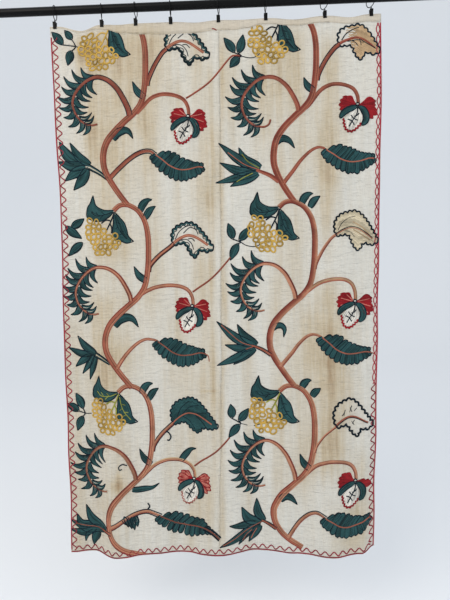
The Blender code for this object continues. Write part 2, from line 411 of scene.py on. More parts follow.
CREASES = [
    # (x, y, x, y, half width, forward), all in mm on the flat cloth: soft ridges and troughs
    (-496, 915, -436, 1020, 9, -3.2),
    (-486, 905, -420, 1010, 9, +2.2),
    (-484, 1440, -430, 1550, 11, -2.6),
    (-468, 1425, -412, 1530, 10, +2.0),
    (420, 1090, 486, 1175, 10, -2.4),
    (436, 1080, 500, 1160, 8, +1.8),
    (336, 1470, 402, 1572, 10, -2.2),
    (356, 1462, 418, 1556, 8, +1.6),
    (-420, 45, -330, 170, 16, -4.0),
    (-455, 60, -440, 210, 14, +2.5),
    (430, 40, 392, 160, 13, -2.6),
    (474, 45, 506, 150, 12, +2.2),
    (-262, 1290, -150, 1282, 5, -1.2),
    (-250, 1318, -165, 1316, 5, -1.0),
    (60, 1490, 64, 1690, 16, +2.0),
    (-120, 1560, -112, 1690, 16, -2.0),
    (230, 1280, 236, 1690, 14, +1.6),
]
LEFT, SEAM, RIGHT = LONG_LINES[0, 1:]


def eased(table, place, column):
    """A column of a table at many places, eased from row to row."""
    keys = table[:, 0]
    row = np.clip(np.searchsorted(keys, place) - 1, 0, len(keys) - 2)
    share = np.clip((place - keys[row]) / (keys[row + 1] - keys[row]), 0, 1)
    ease = (1 - np.cos(pi * share)) / 2
    return table[row, column] + (table[row + 1, column] - table[row, column]) * ease


def heading_height(x):
    """The heading strip's height in mm at x."""
    return eased(HEADING, np.asarray(x, float), 1)


ripple_random = random.Random(11)
RIPPLES = [(ripple_random.uniform(45, 190), ripple_random.uniform(120, 420),
            ripple_random.uniform(0, 2 * pi), ripple_random.choice((-1, 1))) for _ in range(12)]


def ripples(x, y):
    """Low waves of the worn cloth, in mm, standing mostly upright and absent under the clips."""
    total = np.zeros_like(x)
    for wide, tall, phase, side in RIPPLES:
        total += 0.0042 * wide * np.sin(2 * pi * (x / wide + side * y / tall) + phase)
    return total * np.clip((y - GRIP_DEPTH) / 160, 0, 1)


def creases(x, y):
    """Soft ridges and troughs pressed into the cloth, in mm."""
    total = np.zeros_like(x)
    for ax, ay, bx, by, half, forward in CREASES:
        run = hypot(bx - ax, by - ay)
        along = ((x - ax) * (bx - ax) + (y - ay) * (by - ay)) / run
        off = ((x - ax) * (by - ay) - (y - ay) * (bx - ax)) / run
        swell = np.exp(-(off / (1.5 * half)) ** 2) * np.sin(pi * np.clip(along / run, 0, 1)) ** 0.7
        total += 1.2 * forward * swell
    return total


def cloth_surface(x, y):
    """Flat places in mm to points in metres on the hanging cloth's middle surface."""
    down = y / LENGTH
    left, seam, right = (eased(LONG_LINES, down, c) for c in (1, 2, 3))
    in_left = x <= SEAM
    share = np.where(in_left, (x - LEFT) / (SEAM - LEFT), (x - SEAM) / (RIGHT - SEAM))
    hung_x = np.where(in_left, left + (seam - left) * share, seam + (right - seam) * share)
    across = (x - LEFT) / (RIGHT - LEFT)
    drop, forward = np.zeros_like(x), np.zeros_like(x)
    for (fall, lowest, out), first, second in zip(SAGS, RINGS, RINGS[1:]):
        start, end = first[0] / MM + GRIP_HALF, second[0] / MM - GRIP_HALF
        part = np.clip((x - start) / (end - start), 0, 1)
        turn = np.where(part < lowest, part / lowest, (1 - part) / (1 - lowest))
        swell = (1 - np.cos(pi * turn)) / 2
        drop += fall * swell
        forward += out * swell
    fade = np.clip(1 - y / SAG_REACH, 0, 1) ** 2
    free = np.clip(down - GRIP_DEPTH / LENGTH, 0, None) ** FLUTE_GROWTH
    depth = forward * fade + eased(FLUTES, across, 1) * free + ripples(x, y) + creases(x, y)
    fall = y + eased(FLUTES, across, 2) * np.clip(down, 0, None) ** 3 + drop * fade
    return np.stack([hung_x * MM, -depth * MM, TOP_HEIGHT - fall * MM], 1)


def hang(x, y, lift):
    """Points in metres at flat places, lifted off the cloth's middle surface by lift mm."""
    here = cloth_surface(x, y)
    beside = cloth_surface(x + 1.0, y) - here
    below = cloth_surface(x, y + 1.0) - here
    normal = np.cross(below, beside)
    normal /= np.linalg.norm(normal, axis=1)[:, None]
    return here + normal * (lift * MM)[:, None]


# --- Ground cloth and heading -----------------------------------------------------------------
# Two widths of handloom cotton and linen twill joined down the middle, with a turned hem at the
# sides and foot, and a plain cotton strip sewn along the top. Both are undyed cream, and the twill
# has turned tan with age in upright watery streaks; painted shade darkens its left selvedge and hem.

CLOTH = 0.8                                  # thickness in mm; the turned hem is double
HEM = 9.0
GRID = 7.0        # spacing of the cloth's points in mm
HALF_GAP = 0.02                              # half of the gap between two sewn edges

STAIN_AND_SHADE_STREAKS = [
    # (x, half width, y from, y to, strength): upright stains in the ground cloth; the last three rows are
    # painted shade down the left selvedge and along the hem
    (-340, 95, 20, 760, 0.62),
    (-410, 40, 30, 420, 0.45),
    (-205, 28, 60, 900, 0.42),
    (-120, 16, 200, 1500, 0.26),
    (-45, 30, 30, 1650, 0.42),
    (-8, 15, 150, 1680, 0.46),
    (26, 11, 40, 1690, 0.55),
    (60, 22, 30, 420, 0.42),
    (150, 34, 40, 420, 0.60),
    (205, 22, 60, 1500, 0.40),
    (262, 30, 80, 1500, 0.38),
    (358, 34, 80, 700, 0.62),
    (362, 42, 820, 1420, 0.95),
    (300, 20, 900, 1500, 0.40),
    (430, 38, 880, 1300, 0.34),
    (-470, 34, 1130, 1690, 0.40),
    (-395, 60, 860, 1300, 0.42),
    (-330, 70, 980, 1700, 0.34),
    (-150, 24, 900, 1680, 0.28),
    (-85, 18, 1000, 1690, 0.34),
    (110, 20, 760, 1690, 0.34),
    (455, 50, 1380, 1690, 0.45),
    (-240, 90, 10, 300, 0.50),
    (-170, 50, 10, 260, 0.30),
    (255, 50, 10, 260, 0.45),
    (350, 60, 250, 480, 0.30),
    (-350, 140, 820, 1080, 0.35),
    # painted shade, not stains: the cloth darkened down the left selvedge and along the hem
    (-500, 60, 900, 1720, 1.00),
    (-430, 90, 1500, 1720, 0.30),
    (430, 70, 1560, 1720, 0.35),
]
SPOTS = [
    # (x, y, radius across, radius down, strength): single stains
    (-333, 1457, 22, 32, 0.5),
    (-345, 1468, 34, 18, 0.25),
    (52, 1010, 26, 14, 0.5),
    (196, 955, 16, 9, 0.6),
    (-20, 560, 20, 70, 0.35),
    (-430, 75, 60, 40, 0.5),
    (-20, 1163, 26, 2.0, 0.35),
]


def stain_and_shade_at(x, y):
    """How far the cloth at flat places is browned by stains and darkened by painted shade along the left
    selvedge and hem, 0 to about 1.
    """
    total = np.zeros_like(x)
    for middle, half, top, foot, strength in STAIN_AND_SHADE_STREAKS:
        wander = middle + 5 * np.sin(y / 130 + middle)
        side = np.exp(-((x - wander) / half) ** 2)
        ends = np.clip((y - top) / 90 + 0.5, 0, 1) * np.clip((foot - y) / 140 + 0.5, 0, 1)
        total += strength * side * ends * (0.82 + 0.18 * np.sin(y / 57 + middle * 0.7))
    for middle, height, wide, tall, strength in SPOTS:
        total += strength * np.exp(-((x - middle) / wide) ** 2 - ((y - height) / tall) ** 2)
    margin = np.clip((x - LEFT - 70) / 50, 0, 1)
    return total * (0.35 + 0.65 * margin)


def woven_material(name, pale, tan, rust, grain_strength):
    """Handloom twill: cream threads of uneven thickness both ways, browned by the stains and darkened by
    painted shade down the left selvedge and along the hem.
    """
    made, tree, shader = new_material(name, Roughness=0.92, Sheen_Weight=0.12, Sheen_Roughness=0.6,
                                      Specular_IOR_Level=0.25)
    where = add_node(tree, "ShaderNodeTexCoord")
    stain = add_node(tree, "ShaderNodeAttribute", attribute_name="stain")
    upright = add_node(tree, "ShaderNodeMapping", {"Vector": (where, "Object"), "Scale": (70.0, 70.0, 3.2)})
    streak = add_node(tree, "ShaderNodeTexNoise",
                      {"Vector": (upright, "Vector"), "Scale": 1.0, "Detail": 5.0, "Roughness": 0.62})
    cloud = add_node(tree, "ShaderNodeTexNoise",
                     {"Vector": (where, "Object"), "Scale": 14.0, "Detail": 4.0, "Roughness": 0.6})
    uneven = add_node(tree, "ShaderNodeMath", {0: (streak, "Fac"), 1: 0.75},
                      operation="MULTIPLY")
    uneven = add_node(tree, "ShaderNodeMath", {0: (cloud, "Fac"), 1: 0.55, 2: (uneven, "Value")},
                      operation="MULTIPLY_ADD")
    amount = add_node(tree, "ShaderNodeMath", {0: (stain, "Fac"), 1: (uneven, "Value")},
                      operation="MULTIPLY")
    haze = add_node(tree, "ShaderNodeMapRange", {"Value": (streak, "Fac"), "From Min": 0.35,
                                                 "From Max": 0.75, "To Min": 0.0, "To Max": 0.16})
    amount = add_node(tree, "ShaderNodeMath", {0: (amount, "Value"), 1: 1.25, 2: (haze, "Result")},
                      operation="MULTIPLY_ADD", use_clamp=True)
    # the tan colours of the stains, also used as painted shade down the left selvedge and along the hem
    stained_and_shaded = add_node(tree, "ShaderNodeValToRGB", {"Fac": (amount, "Value")})
    ramp = stained_and_shaded.color_ramp.elements
    ramp[0].color = linear(pale)
    ramp[1].color = linear(rust)
    middle = ramp.new(0.55)
    middle.color = linear(tan)

    warp = add_node(tree, "ShaderNodeMapping", {"Vector": (where, "Object"), "Scale": (900.0, 900.0, 26.0)})
    warp = add_node(tree, "ShaderNodeTexNoise", {"Vector": (warp, "Vector"), "Scale": 1.0, "Detail": 2.0})
    weft = add_node(tree, "ShaderNodeMapping", {"Vector": (where, "Object"), "Scale": (26.0, 26.0, 900.0)})
    weft = add_node(tree, "ShaderNodeTexNoise", {"Vector": (weft, "Vector"), "Scale": 1.0, "Detail": 2.0})
    threads = add_node(tree, "ShaderNodeMath", {0: (warp, "Fac"), 1: (weft, "Fac")}, operation="ADD")
    tone = add_node(tree, "ShaderNodeMapRange", {"Value": (threads, "Value"), "From Min": 0.75,
                                                 "From Max": 1.25, "To Min": 0.90, "To Max": 1.06})
    cloth_colour = add_node(tree, "ShaderNodeMix", {0: 1.0, 6: (stained_and_shaded, "Color"), 7: (tone, "Result")},
                            data_type="RGBA", blend_type="MULTIPLY")
    link(tree, cloth_colour, 2, shader, "Base Color")

    pucker = add_node(tree, "ShaderNodeMapping", {"Vector": (where, "Object"), "Scale": (38.0, 38.0, 120.0)})
    pucker = add_node(tree, "ShaderNodeTexNoise",
                      {"Vector": (pucker, "Vector"), "Scale": 1.0, "Detail": 3.0, "Distortion": 0.6})
    relief = add_node(tree, "ShaderNodeMath", {0: (pucker, "Fac"), 1: 6.0, 2: (threads, "Value")},
                      operation="MULTIPLY_ADD")
    bump = add_node(tree, "ShaderNodeBump",
                    {"Height": (relief, "Value"), "Strength": grain_strength, "Distance": 0.0012})
    link(tree, bump, "Normal", shader, "Normal")
    return made


ground_twill = woven_material("handloom_cotton_linen_twill", "#d2cec4", "#bfb096", "#9a8060", 0.95)
heading_cotton = woven_material("plain_cotton_heading", "#c8beae", "#b9aa90", "#978062", 0.8)


def sheet_of_cloth(name, start, end, top_of, foot_of, material, hemmed):
    """A thin closed sheet between x start and end, hung on the folds, double at its turned hem."""
    columns = max(2, round((end - start) / GRID))
    rows = max(3, round(float(foot_of(start) - top_of(start)) / GRID))
    shape = bmesh.new()
    bmesh.ops.create_grid(shape, x_segments=columns, y_segments=rows, size=0.5)
    mesh = bpy.data.meshes.new(name)
    shape.to_mesh(mesh)
    shape.free()
    flat = np.empty(len(mesh.vertices) * 3, np.float32)
    mesh.vertices.foreach_get("co", flat)
    flat = flat.reshape(-1, 3).astype(float)
    x = start + (flat[:, 0] + 0.5) * (end - start)
    y = top_of(x) + (0.5 - flat[:, 1]) * (foot_of(x) - top_of(x))
    points = cloth_surface(x, y)
    mesh.vertices.foreach_set("co", points.astype(np.float32).ravel())
    # stains together with painted shade down the left selvedge and along the hem
    stain = mesh.attributes.new("stain", "FLOAT", "POINT")
    stain.data.foreach_set("value", stain_and_shade_at(x, y).astype(np.float32))
    mesh.materials.append(material)
    mesh.shade_smooth()
    made = bpy.data.objects.new(name, mesh)
    bpy.context.scene.collection.objects.link(made)
    turned = made.vertex_groups.new(name="turned_hem")
    edge = np.minimum(x - LEFT, RIGHT - x) if hemmed else np.full_like(x, 99.0)
    edge = np.minimum(edge, LENGTH - y) if hemmed else edge
    for index in np.nonzero(edge < HEM)[0].tolist():
        turned.add([index], 1.0, "REPLACE")
    solid = made.modifiers.new("thickness", "SOLIDIFY")
    solid.thickness = 2 * CLOTH * MM if hemmed else CLOTH * MM
    solid.offset = 0.0
    solid.use_even_offset = True
    if hemmed:
        solid.vertex_group = "turned_hem"
        solid.thickness_vertex_group = 0.5
    return made


def hem_foot(x):
    """The hem's height down the flat cloth, the same at every x."""
    return np.full_like(np.asarray(x, float), LENGTH)


left_width = sheet_of_cloth("ground_left_width", LEFT, SEAM - HALF_GAP,
                            lambda x: heading_height(x) + HALF_GAP, hem_foot, ground_twill, True)
right_width = sheet_of_cloth("ground_right_width", SEAM + HALF_GAP, RIGHT,
                             lambda x: heading_height(x) + HALF_GAP, hem_foot, ground_twill, True)
heading = sheet_of_cloth("heading_band", LEFT, RIGHT, lambda x: 0.0 * x,
                         lambda x: heading_height(x) - HALF_GAP, heading_cotton, False)
for piece, node, slot in ((left_width, "cloth_left", "ground_cloth"),
                          (right_width, "cloth_right", "ground_cloth"),
                          (heading, "heading_strip", "heading_cloth")):
    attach(piece, "root")
    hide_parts(node)


# --- Crewel stitching -------------------------------------------------------------------------
# Two-ply worsted wool worked in chain stitch, row beside row: each row is a low rounded cord about
# 3 mm wide standing 1 mm off the cloth. Motifs are drawn flat as rows of stitches, gathered by
# colour of wool, and then hung on the cloth.

ROW = 2.9                                    # width of one chain-stitch row in mm
STEP = 4.2        # spacing of the points along a row
STITCH = 5.0                                 # length of one chain stitch
PROFILE = ((-0.5, 0.0), (-0.28, 0.34), (0.28, 0.34), (0.5, 0.0))
rows_of = {}                                 # colour of wool to its rows
wool_random = random.Random(5)


def smooth_run(points, step=None):
    """A smooth curve through points, as evenly spaced places and how far along each one is."""
    pts = np.array(points, float)
    pts = np.vstack([2 * pts[0] - pts[1], pts, 2 * pts[-1] - pts[-2]])
    fine = []
    for a, b, c, d in zip(pts, pts[1:], pts[2:], pts[3:]):
        t = np.linspace(0, 1, 12, endpoint=False)[:, None]
        fine.append(0.5 * (2 * b + (c - a) * t + (2 * a - 5 * b + 4 * c - d) * t ** 2
                           + (3 * b - a - 3 * c + d) * t ** 3))
    fine = np.vstack(fine + [pts[-2:-1]])
    travel = np.concatenate([[0], np.cumsum(np.hypot(*np.diff(fine, axis=0).T))])
    count = max(3, int(round(travel[-1] / (step or STEP))) + 1)
    share = np.linspace(0, 1, count)
    run = np.stack([np.interp(share * travel[-1], travel, fine[:, i]) for i in (0, 1)], 1)
    return run, share


def sideways(run):
    """Unit directions across a run, to its left as it is drawn with y downwards."""
    along = np.gradient(run, axis=0)
    along /= np.maximum(np.hypot(*along.T), 1e-9)[:, None]
    return np.stack([-along[:, 1], along[:, 0]], 1)


def stitch(wool, run, width, lift=0.0, free=False):
    """Lays one row of chain stitch; only the part on the embroidered field is kept."""
    run = np.asarray(run, float)
    width = np.broadcast_to(np.asarray(width, float), (len(run),)).copy()
    if free:
        rows_of.setdefault(wool, []).append((run, width, lift + wool_random.uniform(0, 0.12)))
        return
    room = run[:, 1] - heading_height(run[:, 0]) - 1.2
    inside = (room > 0) & (run[:, 1] < LENGTH - 5) & (run[:, 0] > LEFT + 2) & (run[:, 0] < RIGHT - 2)
    marks = np.flatnonzero(np.diff(np.concatenate([[0], inside.astype(int), [0]])))
    for a, b in zip(marks[::2], marks[1::2]):
        if b - a < 2:
            continue
        part, wide = run[a:b], width[a:b]
        if a > 0 and room[a - 1] <= 0:
            share = room[a] / (room[a] - room[a - 1])
            part = np.vstack([part[:1] + (run[a - 1] - run[a]) * share, part])
            wide = np.concatenate([wide[:1], wide])
        if b < len(run) and room[b] <= 0:
            share = room[b - 1] / (room[b - 1] - room[b])
            part = np.vstack([part, part[-1:] + (run[b] - run[b - 1]) * share])
            wide = np.concatenate([wide, wide[-1:]])
        rows_of.setdefault(wool, []).append((part, wide, lift + wool_random.uniform(0, 0.12)))


class Repeat:
    """One repeat of the climbing stem: where its hook's crown is, and what is its own in it."""

    def __init__(self, x, y, lean, bulge, **style):
        self.x, self.y, self.lean, self.bulge = x, y, lean, bulge
        self.style = style
        self.random = random.Random(x * 7 + y)

    def at(self, points):
        return np.atleast_2d(np.array(points, float)) + (self.x, self.y)

    def near(self, amount):
        return self.random.uniform(-amount, amount)

    def swung(self, points):
        """Points of the climbing stem, swung to meet the next repeat."""
        moved = []
        for x, y in points:
            share = min(max(y / 582, 0), 1)
            ease = share * share * (3 - 2 * share)
            moved.append((x + self.lean * ease - self.bulge * np.exp(-((y - 440) / 95) ** 2), y))
        return moved


def turned(points, old_base, old_tip, base, tip):
    """Points turned and scaled so that one pair of places comes to another."""
    old, new = complex(*old_tip) - complex(*old_base), complex(*tip) - complex(*base)
    out = [(complex(x, y) - complex(*old_base)) * new / old + complex(*base) for x, y in points]
    return [(z.real, z.imag) for z in out]


def stem(repeat, route, widths, wools, lift=0.25, rows=None):
    """A stalk of rows side by side; wools run from one edge of the stalk to the other."""
    run, share = smooth_run(repeat.at(route))
    width = np.interp(share, np.linspace(0, 1, len(widths)), widths)
    count = rows or max(1, round(max(widths) / ROW))
    across = sideways(run)
    for k in range(count):
        offset = ((k + 0.5) / count - 0.5) * width
        wool = wools[min(len(wools) - 1, int(len(wools) * (k + 0.5) / count))]
        stitch(wool, run + across * offset[:, None], width / count * 1.18, lift)


def leaf(repeat, path, width, bend=0.0, hook=0.0, belly=0.42, fill="teal", edge="navy",
         vein=None, blunt=False, root=0.0, lift=0.0):
    """A leaf worked in rows from base to tip, outlined, with an optional vein laid over it."""
    if len(path) == 2:
        ends = repeat.at(path)
        axis = ends[1] - ends[0]
        t = np.linspace(0, 1, max(6, int(hypot(*axis) / 3.4) + 2))
        side = np.array([-axis[1], axis[0]])
        middle = ends[0] + axis * t[:, None] + side * (bend * np.sin(pi * t) + hook * t ** 3)[:, None]
    else:
        middle, t = smooth_run(repeat.at(path), 3.4)
    if blunt:
        half = (1 - np.abs(2 * t - 1) ** 2.6) ** 0.5
    else:
        half = np.sin(pi * t ** (np.log(0.5) / np.log(belly))) ** 0.9
    half = np.where(t < belly, root + (1 - root) * half, half) * width / 2
    across = sideways(middle)
    count = max(2, round(width / ROW))
    for k in range(count):
        if k in (0, count - 1):
            run = middle + across * ((-0.97 if k == 0 else 0.97) * half)[:, None]
            stitch(edge, run, np.clip(2 * half / count * 1.708, 3.2, 4.4), lift + 0.1)
        elif fill:
            f = ((k - 0.5) / (count - 2) * 2 - 1) * 0.86
            run = middle + across * (f * half)[:, None]
            local = 2 * half * 0.86 / (count - 2) * 1.4
            keep = np.flatnonzero(local > 0.4)
            if len(keep) > 2:
                part = slice(keep[0], keep[-1] + 1)
                stitch(fill, run[part], np.clip(local[part], 1.0, 4), lift)
    if vein:
        stitch(vein, middle[max(1, int(len(t) * 0.15)):max(4, int(len(t) * 0.86))], 3.0, lift + 0.75)


# Colours of wool: (name, hex, record's slot)
WOOLS = [
    ("navy", "#0e212b", "crewel_wool_navy"),
    ("teal", "#2e5253", "crewel_wool_teal"),
    ("terracotta", "#a25f4b", "crewel_wool_terracotta"),
    ("rose", "#8c4437", "crewel_wool_rose_brown"),
    ("salmon", "#bd8468", "crewel_wool_terracotta"),
    ("tan", "#c6a67f", "crewel_wool_tan"),
    ("buff", "#d8c9ab", "crewel_wool_tan"),
    ("ochre", "#c6a04e", "crewel_wool_ochre"),
    ("crimson", "#941f25", "crewel_wool_crimson"),
    ("pink", "#cf7a6b", "crewel_wool_pink"),
    ("olive", "#9a9a41", "crewel_wool_olive"),
    ("cream", "#ece6da", "crewel_wool_cream"),
    ("madder", "#a33440", "border_wool_madder"),
    ("thread", "#c9b692", "sewing_thread"),
]


def line(repeat, wool, points, width=2.6, lift=0.7):
    """One row of stitching along points of a repeat."""
    run, _ = smooth_run(repeat.at(points), min(STEP, 3.5))
    stitch(wool, run, width, lift)


def scalloped(run, depth, pitch, side):
    """Pushes a run out to one side in round scallops."""
    travel = np.concatenate([[0], np.cumsum(np.hypot(*np.diff(run, axis=0).T))])
    waves = max(1, round(travel[-1] / pitch))
    bump = np.abs(np.sin(pi * waves * travel / travel[-1]))
    return run + sideways(run) * (side * depth * (bump - 0.35))[:, None]


def patch(repeat, first, second, fill, edge, scallop=(0, 14), edge_width=3.6, lift=0.0,
          inner=None, bare=0.0):
    """A leaf between two contours, base to tip: rows of fill past its bare part, and an outline."""
    a, _ = smooth_run(repeat.at(first), 2.0)
    b, _ = smooth_run(repeat.at(second), 2.0)
    count = max(len(a), len(b))
    share = np.linspace(0, 1, count)
    a = np.stack([np.interp(share, np.linspace(0, 1, len(a)), a[:, i]) for i in (0, 1)], 1)
    b = np.stack([np.interp(share, np.linspace(0, 1, len(b)), b[:, i]) for i in (0, 1)], 1)
    outward = np.sign(np.sum(sideways(a) * (a - b)))
    if scallop[0]:
        a = scalloped(a, scallop[0], scallop[1], outward)
        b = scalloped(b, scallop[0], scallop[1], -outward)
    if fill:
        gap = np.hypot(*(a - b).T)
        rows = max(2, round(gap.max() / ROW))
        pick = np.unique(np.linspace(0, count - 1, max(4, int(count * 2.0 / STEP))).astype(int))
        for k in range(1, rows):
            f = k / rows
            run, room = (a * (1 - f) + b * f)[pick], (gap / rows)[pick]
            keep = np.flatnonzero((room > 0.35) & (share[pick] >= bare * (1 + 0.3 * sin(k * 1.9))))
            if len(keep) > 2:
                part = slice(keep[0], keep[-1] + 1)
                stitch(fill, run[part], np.clip(room[part] * 1.3, 1.2, 3.4), lift)
    for contour, side in ((a, outward), (b, -outward)):
        if inner:
            inset = contour - sideways(contour) * side * edge_width * 0.85
            stitch(inner, inset[3:-3], edge_width, lift)
        stitch(edge, contour, edge_width, lift + 0.15)


def oak_leaf(repeat, look, base, tip, rise=1.0):
    """The broad scalloped leaf to the right of the stem, over its arched rib, and its stalk."""
    def put(points):
        return turned(points, (151, 124), (285, 134), base, tip)
    upper = put([(x, 126 + (y - 126) * rise if y < 126 else y) for x, y in (
        (151, 124), (147, 110), (146, 94), (154, 78), (167, 68), (184, 62), (203, 58), (222, 65),
        (239, 79), (254, 95), (268, 112), (279, 126), (286, 135))])
    lower = put([(152, 128), (164, 129), (180, 124), (194, 128), (202, 143), (210, 154), (220, 165),
                 (231, 164), (236, 149), (247, 144), (262, 148), (275, 145), (286, 135)])
    if look == "teal":
        chord = put([(152, 128), (286, 135)])
        lower = [(x, y - 0.42 * max(0, y - chord[0][1] - 4)) for x, y in lower[:-1]] + [lower[-1]]
    rib = put([(150, 128), (160, 118), (176, 107), (196, 99), (218, 101), (242, 112), (266, 127)])
    stalk = [(83, 214), (88, 194), ((83 + base[0]) / 2 - 7, (200 + base[1]) / 2 + 2),
             (base[0] - 14, base[1] + 16), (base[0] + 2, base[1] + 3)]
    if look in ("open", "tan", "teal"):
        run, share = smooth_run(repeat.at(stalk))
        out = sideways(run) * 6.0
        for side in (1, -1):
            stitch("navy", run + side * out, 3.4, 0.1)
    thick = (7, 6, 5.5) if look == "outline" else (10, 9.5, 8.5)
    stem(repeat, stalk, thick, repeat.style["branch"], 0.2, 2 if look == "outline" else 3)
    if look == "open":
        patch(repeat, upper, lower, None, "navy", (5.6, 17), 4.8, inner="teal")
        for contour, side in ((upper, 1), (lower, -1)):
            run, _ = smooth_run(repeat.at(contour), 3.0)
            run = run + sideways(run) * (side * (7.5 + 2.6 * np.sin(np.arange(len(run)) * 0.9)))[:, None]
            stitch("navy", run[4:-5], 2.8, 0.1)
        for vein in ([(158, 112), (168, 90), (186, 74), (206, 66)],
                     [(184, 92), (204, 74), (224, 80), (232, 94)],
                     [(176, 112), (196, 112), (212, 124), (220, 142)],
                     [(200, 110), (212, 108), (222, 116)]):
            line(repeat, "navy", put(vein), 3.0, 0.0)
        stem(repeat, rib, (9.0, 8.5, 7.0), ["terracotta", "salmon", "terracotta"], 0.4, 3)
    elif look == "tan":
        patch(repeat, upper, lower, "tan", "navy", (5.6, 17), 5.6, 0.0, None, 0.36)
        for vein in ([(158, 112), (168, 90), (186, 74), (206, 66)], [(176, 112), (194, 110), (212, 124)],
                     [(192, 108), (214, 106), (222, 122)], [(206, 98), (230, 112), (270, 130)]):
            line(repeat, "navy", put(vein), 3.0, 0.6)
        stem(repeat, rib, (8, 7, 4), ["terracotta", "rose"], 0.5, 2)
    elif look == "cream":
        patch(repeat, upper, lower, "buff", "navy", (5.6, 15), 5.6)
        for row in ([(200, 84), (230, 98), (256, 118)], [(204, 108), (230, 120), (258, 134)]):
            line(repeat, "tan", put(row), 4.0, 0.3)
        for vein in ([(158, 112), (168, 90), (186, 74), (206, 66)], [(180, 114), (196, 116), (210, 130)]):
            line(repeat, "navy", put(vein), 2.2, 0.6)
        line(repeat, "navy", rib, 2.8)
        line(repeat, "salmon", [(x, y + 4.0) for x, y in rib], 3.6)
    elif look == "teal":
        patch(repeat, upper, lower, "teal", "navy", (5.6, 15), 4.6)
        for vein in ([(164, 108), (176, 84), (198, 66)], [(180, 102), (200, 82), (228, 76)],
                     [(204, 98), (230, 98), (250, 96)], [(180, 108), (200, 120), (216, 142)],
                     [(218, 104), (238, 122), (248, 134)]):
            line(repeat, "navy", put(vein), 2.8, 0.6)
        line(repeat, "terracotta", rib, 4.4, 0.8)
    else:
        patch(repeat, upper, lower, None, "navy", (5.8, 16), 6.4)
        for vein in ([(174, 92), (182, 82)], [(180, 92), (186, 72)], [(202, 82), (210, 60)],
                     [(210, 82), (204, 66)], [(218, 80), (228, 70)], [(208, 114), (216, 128)],
                     [(218, 112), (210, 124)]):
            line(repeat, "navy", put(vein), 2.6, 0.0)
        stem(repeat, rib, (8, 8, 6), ["terracotta", "terracotta", "navy"], 0.4, 3)


def rounded_lobe(base, angle, length, wide):
    """One finger of the feather leaf: teal, round-ended and outlined in navy."""
    aim = np.array([cos(angle), sin(angle)])
    out = np.array([-aim[1], aim[0]])
    steps = np.linspace(0, 1, max(6, int(length / 3.6) + 2))
    round_end = np.sqrt(1 - np.clip((steps - 0.68) / 0.32, 0, 1) ** 2)
    half = wide / 2 * (0.80 + 0.20 * np.sin(pi * steps * 0.75)) * round_end
    middle = base + aim * (steps * length)[:, None]
    for f in (-0.72, -0.24, 0.24, 0.72):
        keep = half > abs(f) * wide * 0.28
        stitch("teal", (middle + out * (f * half * 0.92)[:, None])[keep], wide * 0.27, 0.0)
    edge = np.vstack([middle - out * half[:, None], (middle + out * half[:, None])[-2::-1]])
    stitch("navy", edge, 4.0, 0.14)


def feather_leaf(repeat, look, start, apex, left, tip):
    """The long leaf of round lobes set close down both sides of a terracotta rib, and its stalk."""
    def put(points):
        return turned(points, (100, 452), (266, 480), left, tip)
    spine = put([(114, 437), (136, 453), (160, 472), (188, 483), (219, 483), (250, 477), (266, 479)])
    if look == "tailed":
        spine = [(108, 432), (136, 446), (166, 460), (200, 465), (234, 463), (262, 467), (290, 480),
                 (318, 503)]
    run, share = smooth_run(repeat.at(spine), 2.0)
    tilt = atan2(tip[1] - left[1], tip[0] - left[0]) - atan2(28, 166)
    if look == "tailed":
        tilt = 0.06
    # (share along the rib, angle in degrees, length) of each lobe
    lower = [(0.00, 142, 22), (0.06, 136, 28), (0.14, 128, 31), (0.23, 118, 33), (0.32, 111, 34),
             (0.41, 105, 35), (0.50, 99, 36), (0.58, 93, 37), (0.66, 88, 36), (0.74, 82, 33),
             (0.82, 77, 29), (0.90, 70, 24), (0.97, 56, 17)]
    upper = [(0.06, -30, 26), (0.15, -42, 37), (0.25, -46, 43), (0.35, -46, 45), (0.45, -46, 44),
             (0.55, -46, 40), (0.64, -45, 36), (0.73, -43, 30), (0.82, -38, 25), (0.91, -30, 19)]
    for t, angle, length in sorted(lower + upper, key=lambda lobe: -lobe[0]):
        if look == "tailed":
            t, length = t * 0.92, length * (1.0 if t < 0.6 else max(0.25, 1 - (t - 0.6) * 1.9))
        base = np.array([np.interp(t, share, run[:, i]) for i in (0, 1)])
        rounded_lobe(base, radians(angle + repeat.near(3)) + tilt, length * (1 + repeat.near(0.06)),
                     17.0 if length > 22 else 13.0)
    if look == "tailed":
        for side in (1, -1):
            line(repeat, "navy", [(x + 3 * side, y - 5 * side) for x, y in spine[-3:]], 6.0, 0.3)
    dx, dy = apex[0] - start[0], start[1] - apex[1]
    stalk = [(start[0] + u * dx, start[1] - v * dy) for u, v in (
        (0.02, 0.05), (0.19, 0.36), (0.41, 0.66), (0.66, 0.90), (0.87, 1.0), (1.02, 0.99))]
    stalk += [(spine[0][0] - 8, spine[0][1] - 5), spine[0]]
    climb, _ = smooth_run(climbing_stem(repeat), 2.0)
    stalk[0] = tuple(climb[np.argmin(np.hypot(*(climb - stalk[0]).T))])
    if repeat.style.get("edged_feather"):
        bow, _ = smooth_run(repeat.at(stalk))
        for side in repeat.style["edged_feather"]:
            stitch("navy", (bow + sideways(bow) * side * 6.6)[2:], 3.4, 0.1)
    stem(repeat, stalk, (13, 12, 11, 10, 8.5, 6), repeat.style["branch"], 0.3, 4)
    line(repeat, "terracotta", spine, 4.6, 0.9)
    if repeat.style.get("tail"):
        line(repeat, "terracotta", [spine[-1]] + repeat.style["tail"], 3.4, 0.4)


